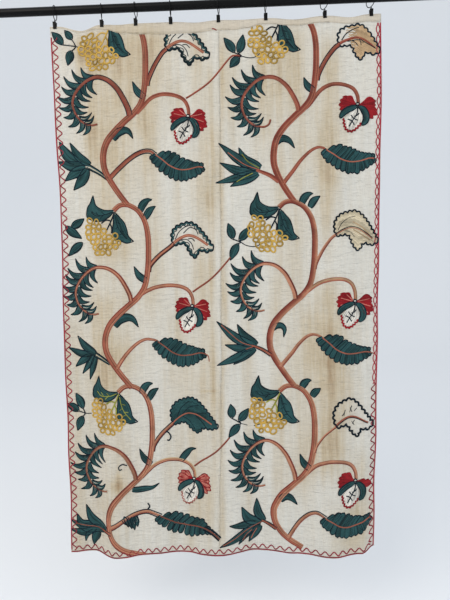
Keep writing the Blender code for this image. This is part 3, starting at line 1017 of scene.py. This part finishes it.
def flower(repeat, look, at, apex):
    """The hanging flower on its arched stalk: two crimson fans, dark sepals, a veined cream heart."""
    fx, fy = at
    start = (60, 284)
    dx, dy, ex, ey = apex[0] - start[0], start[1] - apex[1], fx - apex[0], fy - apex[1]
    stalk = [(start[0] - 14, start[1] + 14), start, (start[0] + 0.34 * dx, start[1] - 0.66 * dy),
             (start[0] + 0.68 * dx, start[1] - 0.95 * dy), apex, (apex[0] + 0.45 * ex, apex[1] + 0.07 * ey),
             (apex[0] + 0.80 * ex, apex[1] + 0.25 * ey), (apex[0] + 1.0 * ex, apex[1] + 0.58 * ey),
             (apex[0] + 1.05 * ex, apex[1] + 0.97 * ey)]
    branch = repeat.style["arch"] if "arch" in repeat.style else repeat.style["branch"]
    stem(repeat, stalk, (12, 12, 12, 11.5, 11, 10), branch, 0.25, 4)

    def put(points):
        return [(fx + x, fy + y) for x, y in points]
    fans = [(-31, -25, 1), (-45, -24, 0), (-54, -13, 1), (-58, 1, 0), (-55, 15, 1), (-40, 19, 0),
            (47, -15, 0), (55, -7, 1), (55, 5, 0), (59, 22, 1), (60, 34, 0), (48, 45, 1)]
    if look == "thin":
        fans = fans[:6] + [(34, 8, 0), (50, 18, 0), (56, 28, 1), (40, 26, 0)]
    for x, y, bright in fans:
        leaf(repeat, put([(x * 0.06, 2), (x, y)]), 15.0 if look == "pale" else 17.0,
             fill="pink" if look == "pale" else "crimson", edge="crimson", belly=0.74,
             vein="pink" if look == "" and bright else None, lift=0.1 + 0.25 * bright)
    cream_left = put([(0, 6), (-16, 20), (-30, 34), (-40, 52), (-36, 72), (-22, 79)])
    cream_right = put([(2, 8), (8, 24), (13, 44), (8, 62), (-6, 74), (-22, 79)])
    patch(repeat, cream_left, cream_right, "cream", "cream", lift=0.4)
    leaf(repeat, put([(-1, 6), (-18, 12), (-34, 19), (-46, 29), (-54, 42)]), 17, belly=0.74,
         blunt=True, lift=1.4)
    leaf(repeat, put([(3, 7), (17, 17), (26, 34), (25, 52), (13, 66)]), 18, belly=0.6,
         blunt=True, lift=1.4)
    for twig in ([(0, 8), (0, 22), (-6, 38), (-16, 52), (-26, 68)], [(-20, 34), (-12, 44), (0, 50)],
                 [(-30, 46), (-18, 52), (-10, 64)], [(-10, 38), (0, 34), (4, 28)]):
        line(repeat, "navy", put(twig), 3.9, 1.2)
    hem = put([(-42, 44), (-41, 58), (-35, 76), (-22, 84), (-8, 79), (4, 68), (11, 60)])
    hem, _ = smooth_run(repeat.at(hem), 1.4)
    travel = np.linspace(0, 1, len(hem))
    hem = hem + sideways(hem) * (2.3 * np.sin(2 * pi * travel * 9))[:, None]
    stitch("crimson" if look != "pale" else "pink", hem, 5.4 if look != "pale" else 4.0, 0.8)
    eye = np.array([(5 * cos(a), 5 * sin(a)) for a in np.linspace(0, 2 * pi, 12)]) + repeat.at([at])[0]
    stitch("cream", repeat.at([(fx - 2.5, fy), (fx, fy), (fx + 2.5, fy)]), 4.6, 1.6)
    stitch("navy", eye, 3.0, 1.8)


def crozier(repeat, look, curl):
    """The fern-like curl on the left of the stem, with hooked leaflets inside and out."""
    def bent(points):
        return [(x + curl[0] * min(1, max(0, (30 - x) / 110)), y + curl[1] * min(1, max(0, (30 - x) / 110)))
                for x, y in points]
    stalk = [(24, 306), (19, 284), (5, 254), (-14, 224), (-42, 201), (-74, 193), (-102, 200), (-128, 220),
             (-147, 246), (-155, 272), (-151, 298), (-138, 322), (-118, 339), (-96, 345), (-78, 342)]
    if look == "upturned":
        stalk = stalk[:-1] + [(-82, 345), (-70, 338), (-65, 324)]
    outer = [((-84, 195), (-128, 166)), ((-108, 203), (-158, 178)), ((-128, 219), (-186, 204)),
             ((-142, 238), (-194, 230)), ((-151, 258), (-202, 262)), ((-153, 278), (-196, 294)),
             ((-149, 298), (-180, 322)), ((-141, 316), (-164, 350)), ((-126, 333), (-140, 369)),
             ((-108, 342), (-118, 374))]
    inner = [((-94, 197), (-94, 246)), ((-118, 211), (-108, 258)), ((-136, 231), (-112, 274)),
             ((-148, 256), (-118, 296)), ((-151, 284), (-116, 312)), ((-138, 318), (-96, 318)),
             ((-118, 334), (-84, 326))]
    for k, (base, tip) in enumerate(outer):
        tip = (tip[0] + repeat.near(4), tip[1] + repeat.near(4))
        leaf(repeat, bent([base, tip]), 18.5 if k < 8 else 15, bend=-0.12, hook=0.26, belly=0.30, root=0.8)
    for k, (base, tip) in enumerate(inner):
        tip = (tip[0] + repeat.near(3), tip[1] + repeat.near(3))
        leaf(repeat, bent([base, tip]), 16.5 if k < 5 else 13, bend=0.14, hook=-0.28, belly=0.30, root=0.8)
    if look == "edged":
        run, share = smooth_run(repeat.at(bent(stalk)))
        out = sideways(run) * np.interp(share, [0, 0.45, 1], [8.2, 6.4, 1.0])[:, None]
        keep = slice(0, int(len(run) * 0.5))
        for side in (1, -1):
            stitch("navy", (run + side * out)[keep], 3.4, 0.5)
    stem(repeat, bent(stalk), (14, 13.5, 12, 10, 8.5, 7.2, 6.4, 5.4), repeat.style["branch"], 0.7, 3)


def tuft(repeat, leaves, route, veins=(), channel=False):
    """The spray of pointed leaves low on the left of the stem."""
    for path, width in leaves:
        leaf(repeat, path, width, belly=0.40, bend=0.05, root=0.45)
    if channel:
        run, share = smooth_run(repeat.at(route))
        out = sideways(run) * np.interp(share, [0, 1], [3.4, 8.0])[:, None]
        for side in (-1, 1):
            stitch("navy", run + out * side, 4.2, 0.1)
            stitch("teal", run + out * side * 0.5, 3.4, 0.05)
    for wool, path in veins:
        line(repeat, wool, path, 3.4, 0.8)
    if not channel:
        stem(repeat, route, (13, 12, 9), repeat.style.get("tuft", ["navy", "terracotta", "navy"]), 0.5, 4)


def grapes(repeat, look):
    """A bunch of open ochre loops hung between two broad leaves, with a forked twig."""
    bunch = [(50, (-110, -92)), (66, (-117, -99, -80)), (83, (-120, -101, -83, -64)),
             (99, (-118, -100, -82, -64, -46, -28)), (116, (-104, -85, -66, -48, -30, -14)),
             (132, (-98, -80, -61, -43, -26)), (148, (-88, -70, -52))]
    for height, places in bunch:
        for place in places:
            middle = repeat.at([(place + repeat.near(3.4), height + repeat.near(3.2))])[0]
            wide, tall = 8.2 + repeat.near(1.8), 8.4 + repeat.near(2.0)
            turn = np.linspace(0, 2 * pi, 14) + repeat.near(3)
            lean = repeat.near(2.8)
            loop = middle + np.stack([wide * np.cos(turn) + lean * np.sin(turn), tall * np.sin(turn)], 1)
            stitch("ochre", loop, 5.8, 0.0)
    left = ([(-31, 16), (-46, 17), (-62, 15), (-80, 8), (-92, -6), (-98, -32)],
            [(-31, 21), (-50, 40), (-77, 50), (-103, 46), (-121, 34), (-119, 8), (-107, -12), (-98, -32)])
    right = ([(-28, 22), (-9, 42), (6, 62), (12, 84), (18, 102), (33, 116)],
             [(-29, 25), (-33, 58), (-34, 94), (-24, 112), (-8, 114), (8, 121), (33, 116)])
    if repeat.y > 0:
        patch(repeat, *left, "teal", "navy", (0.8, 30), 3.8)
    patch(repeat, *right, "teal", "navy", (0.8, 30), 3.8)
    rib = {"yellow": "olive"}.get(look, "navy")
    for vein in ([(-36, 22), (-60, 30), (-90, 32), (-106, 18)], [(-60, 30), (-70, 21)],
                 [(-66, 32), (-76, 41)], [(-82, 32), (-90, 20)],
                 [(-26, 34), (-20, 62), (-10, 84), (10, 108)], [(-19, 56), (-8, 60)],
                 [(-18, 70), (-26, 76)], [(-12, 82), (2, 84)], [(-6, 92), (-18, 96)]):
        if repeat.y > 0 or vein[0][0] > -30:
            line(repeat, rib, vein, 2.6, 0.75)
    twig = {"yellow": "olive", "olive": "olive", "pale": "ochre"}.get(look, "navy")
    for fork in ([(-29, 24), (-38, 46), (-46, 62), (-58, 84)], [(-40, 50), (-56, 47), (-72, 56)],
                 [(-44, 58), (-38, 72), (-39, 88)]):
        line(repeat, twig, fork, 4.6, 0.3)


def sprig(repeat, joint, leaves, wide=25):
    """A small three-leaf sprig on a thin navy stalk."""
    for base, tip in leaves:
        if joint:
            halfway = ((joint[0] + base[0]) / 2 + 1, (joint[1] + base[1]) / 2)
            line(repeat, "navy", [joint, halfway, base], 3.8, 0.2)
        leaf(repeat, [base, tip], wide, belly=0.42, bend=0.07, hook=0.10)
        line(repeat, "navy", [(base[0] * 0.9 + tip[0] * 0.1, base[1] * 0.9 + tip[1] * 0.1),
                              (base[0] * 0.3 + tip[0] * 0.7, base[1] * 0.3 + tip[1] * 0.7)], 1.8, 0.7)


# The climbing stem, in mm from the crown of its hook
TRUNK = [(-30, 17), (-13, 3), (8, -1), (30, 6), (52, 22), (71, 54), (80, 98), (81, 152), (78, 205),
         (68, 258), (46, 293), (14, 321), (-20, 352), (-46, 386), (-58, 424), (-57, 464), (-42, 500),
         (-18, 538), (2, 566), (16, 584)]

REPEATS = [
    Repeat(-292, -22, -10, 0, branch=["rose", "terracotta", "terracotta"], edged_feather=(-1, 1),
           trunk=["rose", "terracotta", "terracotta", "terracotta", "salmon", "rose"]),
    Repeat(240, -20, -5, -11, branch=["terracotta", "terracotta", "rose"], tuft=["terracotta", "rose"],
           trunk=["terracotta", "terracotta", "terracotta", "terracotta", "rose", "rose"]),
    Repeat(-302, 562, 5, 12, branch=["terracotta", "salmon", "rose"], tail=[(278, 486), (282, 504)],
           trunk=["terracotta", "salmon", "terracotta", "terracotta", "terracotta", "rose"]),
    Repeat(235, 565, 4, 4, branch=["salmon", "salmon", "rose"], tail=[(266, 486), (276, 491)],
           arch=["salmon", "tan", "salmon", "terracotta"],
           trunk=["salmon", "salmon", "terracotta", "terracotta", "rose", "rose"]),
    Repeat(-297, 1142, 0, 16, branch=["salmon", "salmon", "rose"], edged_feather=(-1, 1),
           arch=["tan", "salmon", "salmon", "rose"],
           trunk=["salmon", "salmon", "terracotta", "salmon", "terracotta", "rose"]),
    Repeat(239, 1150, 0, -14, branch=["salmon", "salmon", "rose"], edged_feather=(-1,),
           trunk=["salmon", "salmon", "salmon", "terracotta", "terracotta", "rose"]),
]
one_left, one_right, two_left, two_right, three_left, three_right = REPEATS


def climbing_stem(repeat):
    """The climbing stem of one repeat; the two lowest run out to the hem in their own way."""
    if repeat is three_right:
        return repeat.swung(TRUNK[:14]) + [(-45, 412), (-40, 446), (-18, 480), (12, 506), (34, 520),
                                           (48, 528)]
    if repeat is three_left:
        return repeat.swung(TRUNK[:-4]) + [(-62, 492), (-42, 516), (-12, 536), (30, 552), (66, 562)]
    return repeat.swung(TRUNK)


# Where each repeat's own leaves, flower and sprigs come
LEAVES_AND_FLOWERS = [
    # repeat, oak leaf (look, base, tip, rise),
    # flower (look, place, top of its arch), crozier (look, shift)
    (one_left, ("open", (147, 100), (282, 127)),
     ("", (210, 313), (146, 243)), ("edged", (-3, -13))),
    (one_right, ("tan", (151, 102), (276, 131)),
     ("red", (206, 291), (149, 228)), ("upturned", (3, 6))),
    (two_left, ("open", (163, 124), (297, 142)),
     ("", (227, 326), (159, 259)), ("", (-9, 3))),
    (two_right, ("cream", (146, 104), (281, 129), 1.1),
     ("", (210, 317), (163, 247)), ("", (3, 0))),
    (three_left, ("teal", (152, 122), (307, 135), 1.04),
     ("pale", (226, 308), (149, 246)), ("", (0, 2))),
    (three_right, ("outline", (147, 125), (270, 130), 1.32),
     ("thin", (214, 306), (148, 241)), ("", (6, -13))),
]
for repeat, oak, bloom, curl in LEAVES_AND_FLOWERS:
    oak_leaf(repeat, *oak)
    grapes(repeat, {one_left: "pale", three_left: "yellow", three_right: "olive"}.get(repeat, ""))
    crozier(repeat, *curl)

feather_leaf(one_left, "", (-42, 500), (86, 418), (89, 444), (255, 475))
feather_leaf(one_right, "", (-13, 530), (99, 421), (100, 444), (260, 460))
feather_leaf(two_left, "", (-29, 525), (85, 430), (97, 455), (265, 480))
feather_leaf(two_right, "", (-8, 516), (86, 421), (93, 446), (258, 483))
feather_leaf(three_left, "tailed", (-69, 468), (67, 413), (110, 443), (323, 508))
feather_leaf(three_right, "", (10, 492), (94, 410), (109, 440), (263, 442))

for repeat, base, tip in ((one_left, (74, 250), (36, 200)), (one_right, (74, 246), (42, 203)),
                          (two_left, (76, 244), (34, 196)), (three_left, (78, 256), (37, 206)),
                          (three_right, (72, 270), (36, 222))):
    middle = ((base[0] + tip[0]) / 2 - 5, (base[1] + tip[1]) / 2 + 5)
    leaf(repeat, [base, middle, tip], 20, belly=0.34, root=0.6)
for repeat, path, width in (
        (one_left, [(-34, 376), (-18, 358), (4, 350), (20, 356), (32, 377)], 24),
        (one_right, [(-48, 404), (-34, 392), (-20, 389), (-2, 398), (13, 419)], 20),
        (two_left, [(-32, 384), (-16, 366), (10, 358), (30, 366), (46, 390)], 26),
        (two_right, [(-52, 404), (-38, 393), (-22, 392), (-12, 404), (-15, 428)], 17),
        (three_left, [(12, 336), (34, 338), (58, 336), (82, 334), (104, 322)], 17),
        (three_right, [(-24, 376), (-12, 364), (2, 361), (16, 370), (30, 387)], 21)):
    leaf(repeat, path, width, belly=0.34, root=0.7)
for repeat, size, (ax, ay), (bx, by) in (
        (two_left, 1.0, (97, -14), (108, 7)), (two_right, 0.9, (77, -23), (99, -14)),
        (three_left, 0.95, (86, -7), (105, 9)), (three_right, 0.72, (70, -18), (99, 7))):
    leaf(repeat, [(ax - 40 * size, ay + 36 * size), (ax - 32 * size, ay + 16 * size),
                  (ax - 16 * size, ay + 2), (ax, ay)], 22, belly=0.4, root=0.6)
    leaf(repeat, [(bx - 36 * size, by + 38 * size), (bx - 24 * size, by + 18 * size),
                  (bx - 14 * size, by + 8), (bx, by)], 21, belly=0.42, root=0.6)

sprig(one_left, (-137, 76),
      [((-180, 78), (-217, 42)), ((-149, 56), (-174, 34)), ((-150, 92), (-162, 143))])
line(one_left, "navy", [(-137, 76), (-128, 77), (-120, 76)], 3.0, 0.2)
sprig(two_left, None,
      [((-176, 66), (-134, 36)), ((-194, 62), (-138, 97)), ((-138, 116), (-182, 162))])
line(two_left, "navy", [(-194, 58), (-180, 84), (-160, 98), (-142, 102)], 2.6, 0.3)
sprig(three_left, (-151, 91),
      [((-172, 84), (-217, 62)), ((-158, 76), (-185, 27)), ((-158, 100), (-174, 149))])
line(three_left, "navy", [(-151, 91), (-142, 92), (-130, 92)], 3.0, 0.2)
sprig(one_right, (-150, 131),
      [((-172, 120), (-208, 78)), ((-160, 122), (-150, 65)), ((-156, 134), (-183, 169))])
sprig(two_right, (-152, 124),
      [((-178, 114), (-197, 66)), ((-158, 118), (-128, 73)), ((-160, 128), (-180, 182))])
sprig(three_right, (-155, 121),
      [((-184, 102), (-192, 57)), ((-162, 112), (-134, 71)), ((-158, 124), (-190, 166))])
line(one_right, "navy", [(-150, 131), (-130, 137), (-112, 137), (-98, 130), (-87, 120)], 2.8, 0.3)
line(two_right, "navy", [(-152, 124), (-136, 134), (-114, 139), (-98, 136), (-86, 127)], 2.8, 0.3)
line(three_right, "navy", [(-155, 121), (-134, 128)], 2.2, 0.3)
line(three_right, "navy", [(-112, 131), (-96, 128), (-81, 118)], 2.8, 0.3)

# The thin runners from each left flower's stalk to the sprig across the seam
for repeat, route in (
        (one_left, [(205, 256), (226, 246), (250, 232), (281, 209), (314, 174), (346, 138), (358, 131),
                    (380, 132)]),
        (two_left, [(229, 281), (252, 266), (280, 248), (306, 226), (330, 200), (352, 174)]),
        (three_left, [(227, 266), (250, 248), (278, 232), (304, 214), (328, 190), (344, 172)])):
    stem(repeat, route, (5.5, 5.0), ["terracotta", "rose"], 0.2, 2)

# The tufts: (leaf from base to tip, width) in turn, the stalk, and veins laid over the leaves
tuft(one_left, [([(-150, 446), (-184, 424), (-208, 380)], 33),
                ([(-112, 454), (-150, 426), (-175, 383)], 25),
                ([(-128, 456), (-172, 458), (-218, 442)], 31),
                ([(-128, 464), (-160, 478), (-198, 503)], 31),
                ([(-122, 468), (-140, 500), (-170, 533)], 31)],
     [(-56, 502), (-84, 480), (-122, 458)], channel=True)
tuft(two_left, [([(-100, 476), (-136, 452), (-163, 417)], 24),
                ([(-116, 476), (-152, 474), (-194, 454)], 21),
                ([(-120, 480), (-144, 494), (-172, 516)], 22),
                ([(-110, 482), (-128, 510), (-150, 540)], 18),
                ([(-100, 482), (-112, 516), (-126, 560)], 20)],
     [(-52, 506), (-78, 490), (-106, 476)], channel=True)
tuft(three_left, [([(-84, 474), (-136, 450), (-160, 398)], 28),
                  ([(-140, 462), (-176, 458), (-192, 427)], 22),
                  ([(-92, 478), (-152, 478), (-214, 446)], 28),
                  ([(-120, 480), (-164, 490), (-214, 478)], 26),
                  ([(-112, 486), (-128, 510), (-134, 536)], 28),
                  ([(-132, 486), (-156, 500), (-162, 522)], 14)],
     [(-64, 480), (-84, 480), (-100, 478)], [("terracotta", [(-96, 478), (-140, 472), (-196, 458)])])
tuft(one_right, [([(-96, 482), (-158, 452), (-225, 399)], 28),
                 ([(-92, 476), (-140, 452), (-162, 413)], 28),
                 ([(-110, 488), (-162, 486), (-221, 459)], 27),
                 ([(-104, 492), (-162, 506), (-235, 521)], 24),
                 ([(-100, 494), (-138, 512), (-188, 533)], 28)],
     [(-36, 522), (-66, 500), (-106, 484)],
     [("terracotta", [(-96, 484), (-144, 466), (-196, 428)]),
      ("olive", [(-98, 478), (-132, 458), (-152, 434)]),
      ("olive", [(-118, 494), (-144, 506), (-168, 520)])])
tuft(two_right, [([(-106, 456), (-168, 428), (-229, 374)], 28),
                 ([(-100, 452), (-140, 424), (-163, 385)], 26),
                 ([(-112, 462), (-158, 462), (-203, 449)], 24),
                 ([(-112, 466), (-162, 490), (-228, 514)], 26),
                 ([(-106, 464), (-138, 486), (-175, 513)], 26)],
     [(-56, 486), (-84, 468), (-116, 454)],
     [("terracotta", [(-100, 458), (-152, 442), (-214, 386)]),
      ("terracotta", [(-112, 458), (-136, 466)])])
tuft(three_right, [([(-74, 450), (-96, 420), (-100, 373)], 26),
                   ([(-84, 458), (-126, 440), (-149, 398)], 30),
                   ([(-96, 462), (-142, 458), (-187, 453)], 24),
                   ([(-90, 464), (-152, 492), (-216, 522)], 27),
                   ([(-100, 472), (-130, 490), (-156, 519)], 22),
                   ([(-86, 466), (-104, 490), (-123, 519)], 27)],
     [(-36, 470), (-56, 460), (-82, 450)],
     [("terracotta", [(-80, 454), (-146, 484), (-206, 516)]),
      ("terracotta", [(-114, 480), (-132, 492), (-144, 508)]),
      ("terracotta", [(-98, 476), (-108, 492), (-116, 508)])])

# Tendrils and odd leaves that only the lowest left repeat has
line(three_left, "navy", [(128, 150), (138, 158), (144, 170), (138, 182), (132, 180)], 5.0, 0.2)
line(three_left, "navy", [(-6, 256), (-22, 252), (-34, 260), (-32, 270), (-24, 268)], 4.0, 0.2)
line(three_left, "navy", [(62, 406), (70, 396), (64, 386)], 5.2, 0.2)
leaf(three_left, [(178, 250), (196, 228), (214, 212), (231, 208)], 20, belly=0.34, root=0.7)
for x, foot in ((-16, 448), (-6, 458), (5, 466), (15, 472), (25, 462)):
    leaf(three_left, [(x - 6, 427), (x, foot - 16), (x + 3, foot)], 15, root=0.9)

for repeat, oak, bloom, curl in LEAVES_AND_FLOWERS:
    flower(repeat, *bloom)
    stem(repeat, climbing_stem(repeat), (15, 15, 17, 18, 18, 19, 20, 20, 18, 17),
         repeat.style["trunk"], 0.35, 6)


# --- Border and sewing ------------------------------------------------------------------------
# A madder wool line runs just inside the selvedges and hem, with a wavy line beside it; on the
# right the two waves cross into a chain of eyes. The seam and the heading are sewn in plain thread.

y = np.arange(34.0, LENGTH - 6, 4.0)
stitch("madder", np.stack([LEFT + 2.6 + 0.6 * np.sin(y / 37), y], 1), 4.2, 0.5, free=True)
y = np.arange(34.0, LENGTH - 14, 2.0)
wave = 7.0 * np.sin(2 * pi * y / 29.5 + 0.5 * np.sin(y / 120))
stitch("madder", np.stack([LEFT + 14 + wave, y], 1), 3.7, 0.3, free=True)
y = np.arange(28.0, LENGTH - 3, 4.0)
stitch("madder", np.stack([RIGHT - 3.2 + 0.7 * np.sin(y / 41), y], 1), 4.0, 0.5, free=True)
y = np.arange(28.0, 1156.0, 2.0)
stitch("madder", np.stack([RIGHT - 10 + 5.2 * np.sin(2 * pi * y / 62), y], 1), 3.2, 0.3, free=True)
stitch("madder", np.stack([RIGHT - 10 - 5.2 * np.sin(2 * pi * y / 62), y], 1), 3.2, 0.36, free=True)
y = np.arange(1150.0, LENGTH - 16, 2.0)
stitch("madder", np.stack([RIGHT - 13 + 6.2 * np.sin(2 * pi * y / 28), y], 1), 3.7, 0.3, free=True)
x = np.arange(LEFT + 3, RIGHT - 2, 4.0)
stitch("madder", np.stack([x, LENGTH - 3.4 + 0.5 * np.sin(x / 31)], 1), 4.2, 0.5, free=True)
x = np.arange(LEFT + 14, RIGHT - 12, 2.0)
stitch("madder", np.stack([x, LENGTH - 14.5 + 6.0 * np.sin(2 * pi * x / 28)], 1), 3.7, 0.3, free=True)
for top in (808, 812, 926):                  # loose ends that stray past the left selvedge
    stitch("madder", np.array([(LEFT + 4.0, top), (LEFT - 1.0, top + 0.6)]), 1.8, 0.9, free=True)
stitch("crimson", np.array([(0, 24.5), (6, 26.0), (13, 30.5)]), 3.4, 0.1, free=True)

SEAM_PITCH = 4.2
HEADING_PITCH = 7
for k in range(int((LENGTH - 40) / SEAM_PITCH)):
    height = 36 + k * SEAM_PITCH
    stitch("thread", np.array([(SEAM - 1.7, height), (SEAM + 1.7, height + 1.3)]), 0.8, 0.0, free=True)
for k in range(int((RIGHT - LEFT - 12) / HEADING_PITCH)):
    start = LEFT + 6 + HEADING_PITCH * k
    run = np.array([(start, 0.0), (start + 4.2, 0.0)])
    run[:, 1] = heading_height(run[:, 0]) - 2.4
    stitch("thread", run, 0.7, 0.0, free=True)


# --- Wool on the cloth ------------------------------------------------------------------------
# Every colour of wool becomes one closed mesh for each loom width, hung on the cloth's folds and
# sunk a little into it, as stitches that pull through the weave are. The reverse has a second
# mesh of thinner rows, as the back of chain stitch has.

def wool_material(name, colour, dark):
    """Worsted wool in chain stitch: links along each row, raised in bump and with painted shade between
    them, fine ply, soft sheen and no gloss.
    """
    made, tree, shader = new_material(name, Roughness=0.9, Sheen_Weight=0.06, Sheen_Roughness=0.5,
                                      Specular_IOR_Level=0.1)
    along = add_node(tree, "ShaderNodeAttribute", attribute_name="along")
    across = add_node(tree, "ShaderNodeAttribute", attribute_name="across")
    tone = add_node(tree, "ShaderNodeAttribute", attribute_name="tone")
    where = add_node(tree, "ShaderNodeTexCoord")
    slant = add_node(tree, "ShaderNodeMath", {0: (across, "Fac")}, operation="ABSOLUTE")
    slant = add_node(tree, "ShaderNodeMath", {0: (slant, "Value"), 1: 0.42 * STITCH, 2: (along, "Fac")},
                     operation="MULTIPLY_ADD")
    links = add_node(tree, "ShaderNodeMath", {0: (slant, "Value"), 1: 2 * pi / STITCH}, operation="MULTIPLY")
    links = add_node(tree, "ShaderNodeMath", {0: (links, "Value")}, operation="SINE")
    fibre = add_node(tree, "ShaderNodeTexNoise",
                     {"Vector": (where, "Object"), "Scale": 900.0, "Detail": 3.0})
    faded = add_node(tree, "ShaderNodeTexNoise", {"Vector": (where, "Object"), "Scale": 26.0, "Detail": 3.0})
    shade = add_node(tree, "ShaderNodeMath", {0: (tone, "Fac"), 1: 0.55, 2: (faded, "Fac")},
                     operation="MULTIPLY_ADD")
    # painted shade: the chain-link wave darkens the colour a little in the gaps between links
    shade = add_node(tree, "ShaderNodeMath", {0: (links, "Value"), 1: 0.10, 2: (shade, "Value")},
                     operation="MULTIPLY_ADD")
    shade = add_node(tree, "ShaderNodeMapRange", {"Value": (shade, "Value"), "From Min": 0.35,
                                                  "From Max": 1.05, "To Min": 0.0, "To Max": 1.0})
    dyed = add_node(tree, "ShaderNodeValToRGB", {"Fac": (shade, "Result")})
    dyed.color_ramp.elements[0].color = linear(dark)
    dyed.color_ramp.elements[1].color = linear(colour)
    link(tree, dyed, "Color", shader, "Base Color")
    relief = add_node(tree, "ShaderNodeMath", {0: (fibre, "Fac"), 1: 0.5, 2: (links, "Value")},
                      operation="MULTIPLY_ADD")
    bump = add_node(tree, "ShaderNodeBump",
                    {"Height": (relief, "Value"), "Strength": 0.5, "Distance": 0.0004})
    link(tree, bump, "Normal", shader, "Normal")
    return made


def darker(hex_colour, amount):
    """A hex colour with its red, green and blue all scaled down."""
    return "#" + "".join(f"{int(int(hex_colour[i:i + 2], 16) * amount):02x}" for i in (1, 3, 5))


SUNK = 0.2                                   # how far a row sits into the cloth's face, in mm
END_TAPER = 0.35                             # a row's pointed end, as a share of its width
POINTED = 0.02
BACK_WIDTH = 0.45                            # a row's width behind, as a share of that in front
BACK_STEP = 3                                # every third point of a row is enough behind
DEEPEST_SHADE = {"teal": 0.48}
SHADE = 0.66

outline_data = bpy.data.curves.new("row_outline", "CURVE")
outline_data.dimensions = "3D"
outline_spline = outline_data.splines.new("POLY")
outline_spline.points.add(len(PROFILE) - 1)
outline_spline.use_cyclic_u = True
for point, (across, high) in zip(outline_spline.points, PROFILE):
    point.co = (across, high, 0, 1)
outline = bpy.data.objects.new("row_outline", outline_data)
bpy.context.scene.collection.objects.link(outline)


def work_wool(name, rows, material, face=1):
    """Sweeps the rows' arched section along them and hangs it on the cloth, or behind it at -1."""
    data = bpy.data.curves.new(name, "CURVE")
    data.dimensions = "2D"
    data.fill_mode = "NONE"
    data.bevel_mode = "OBJECT"
    data.bevel_object = outline
    lifts, along, tones = [], [], []
    for run, width, lift in rows:
        first, last = run[0] - run[1], run[-1] - run[-2]
        full = np.vstack([run[0] + first / max(hypot(*first), 0.1) * width[0] * END_TAPER, run,
                          run[-1] + last / max(hypot(*last), 0.1) * width[-1] * END_TAPER])
        radius = np.concatenate([[POINTED], width, [POINTED]])
        spline = data.splines.new("POLY")
        spline.points.add(len(full) - 1)
        flat = np.zeros((len(full), 4))
        flat[:, 0], flat[:, 1], flat[:, 3] = full[:, 0], -full[:, 1], 1
        spline.points.foreach_set("co", flat.ravel())
        spline.points.foreach_set("radius", radius)
        lifts.append(np.repeat(np.full(len(full), lift), 4))
        travel = np.concatenate([[0], np.cumsum(np.hypot(*np.diff(full, axis=0).T))])
        along.append(np.repeat(travel, 4))
        tones.append(np.full(len(full) * 4, wool_random.random()))
    guide = bpy.data.objects.new(name + "_guide", data)
    bpy.context.scene.collection.objects.link(guide)
    bpy.context.view_layer.update()
    mesh = bpy.data.meshes.new_from_object(guide.evaluated_get(bpy.context.evaluated_depsgraph_get()))
    bpy.data.objects.remove(guide)
    flat = np.empty(len(mesh.vertices) * 3, np.float32)
    mesh.vertices.foreach_get("co", flat)
    flat = flat.reshape(-1, 3).astype(float)
    lift = np.concatenate(lifts)
    edge = np.minimum(np.minimum(flat[:, 0] - LEFT, RIGHT - flat[:, 0]), LENGTH + flat[:, 1])
    cloth_face = np.where(edge < HEM, CLOTH, CLOTH / 2)
    points = hang(flat[:, 0], -flat[:, 1], face * (cloth_face + lift - SUNK + flat[:, 2]))
    mesh.vertices.foreach_set("co", points.astype(np.float32).ravel())
    values = {"along": np.concatenate(along), "tone": np.concatenate(tones),
              "across": np.tile([-1.0, -0.5, 0.5, 1.0], len(flat) // 4)}
    for key, value in values.items():
        mesh.attributes.new(key, "FLOAT", "POINT").data.foreach_set("value", value.astype(np.float32))
    shape = bmesh.new()
    shape.from_mesh(mesh)
    bmesh.ops.remove_doubles(shape, verts=shape.verts, dist=0.00003)
    if face < 0:
        bmesh.ops.reverse_faces(shape, faces=shape.faces)
    made = place_mesh(name, shape, material)
    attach(made, "root")
    return made


wool_on = {"left": [], "right": [], "heading": []}
for wool, colour, slot in WOOLS:
    material = wool_material("sewing_thread" if wool == "thread" else f"crewel_wool_{wool}", colour,
                             darker(colour, DEEPEST_SHADE.get(wool, SHADE)))
    sides = {"left": [], "right": [], "heading": []}
    for row in rows_of[wool]:
        middle = row[0].mean(axis=0)
        part = "left" if middle[0] < SEAM else "right"
        sides["heading" if middle[1] < heading_height(middle[0]) else part].append(row)
    for part, rows in sides.items():
        backs = [(run[::BACK_STEP], np.minimum(width[::BACK_STEP], 3.2) * BACK_WIDTH, 0.05)
                 for run, width, _ in rows if len(run) > 2 * BACK_STEP]
        for ending, laid, face in (("", rows, 1), ("_reverse", backs, -1)):
            if laid and not (face < 0 and part == "heading"):
                worked = work_wool(f"{wool}_wool_{part}{ending}", laid, material, face)
                wool_on[part].append(worked)
bpy.data.objects.remove(outline)
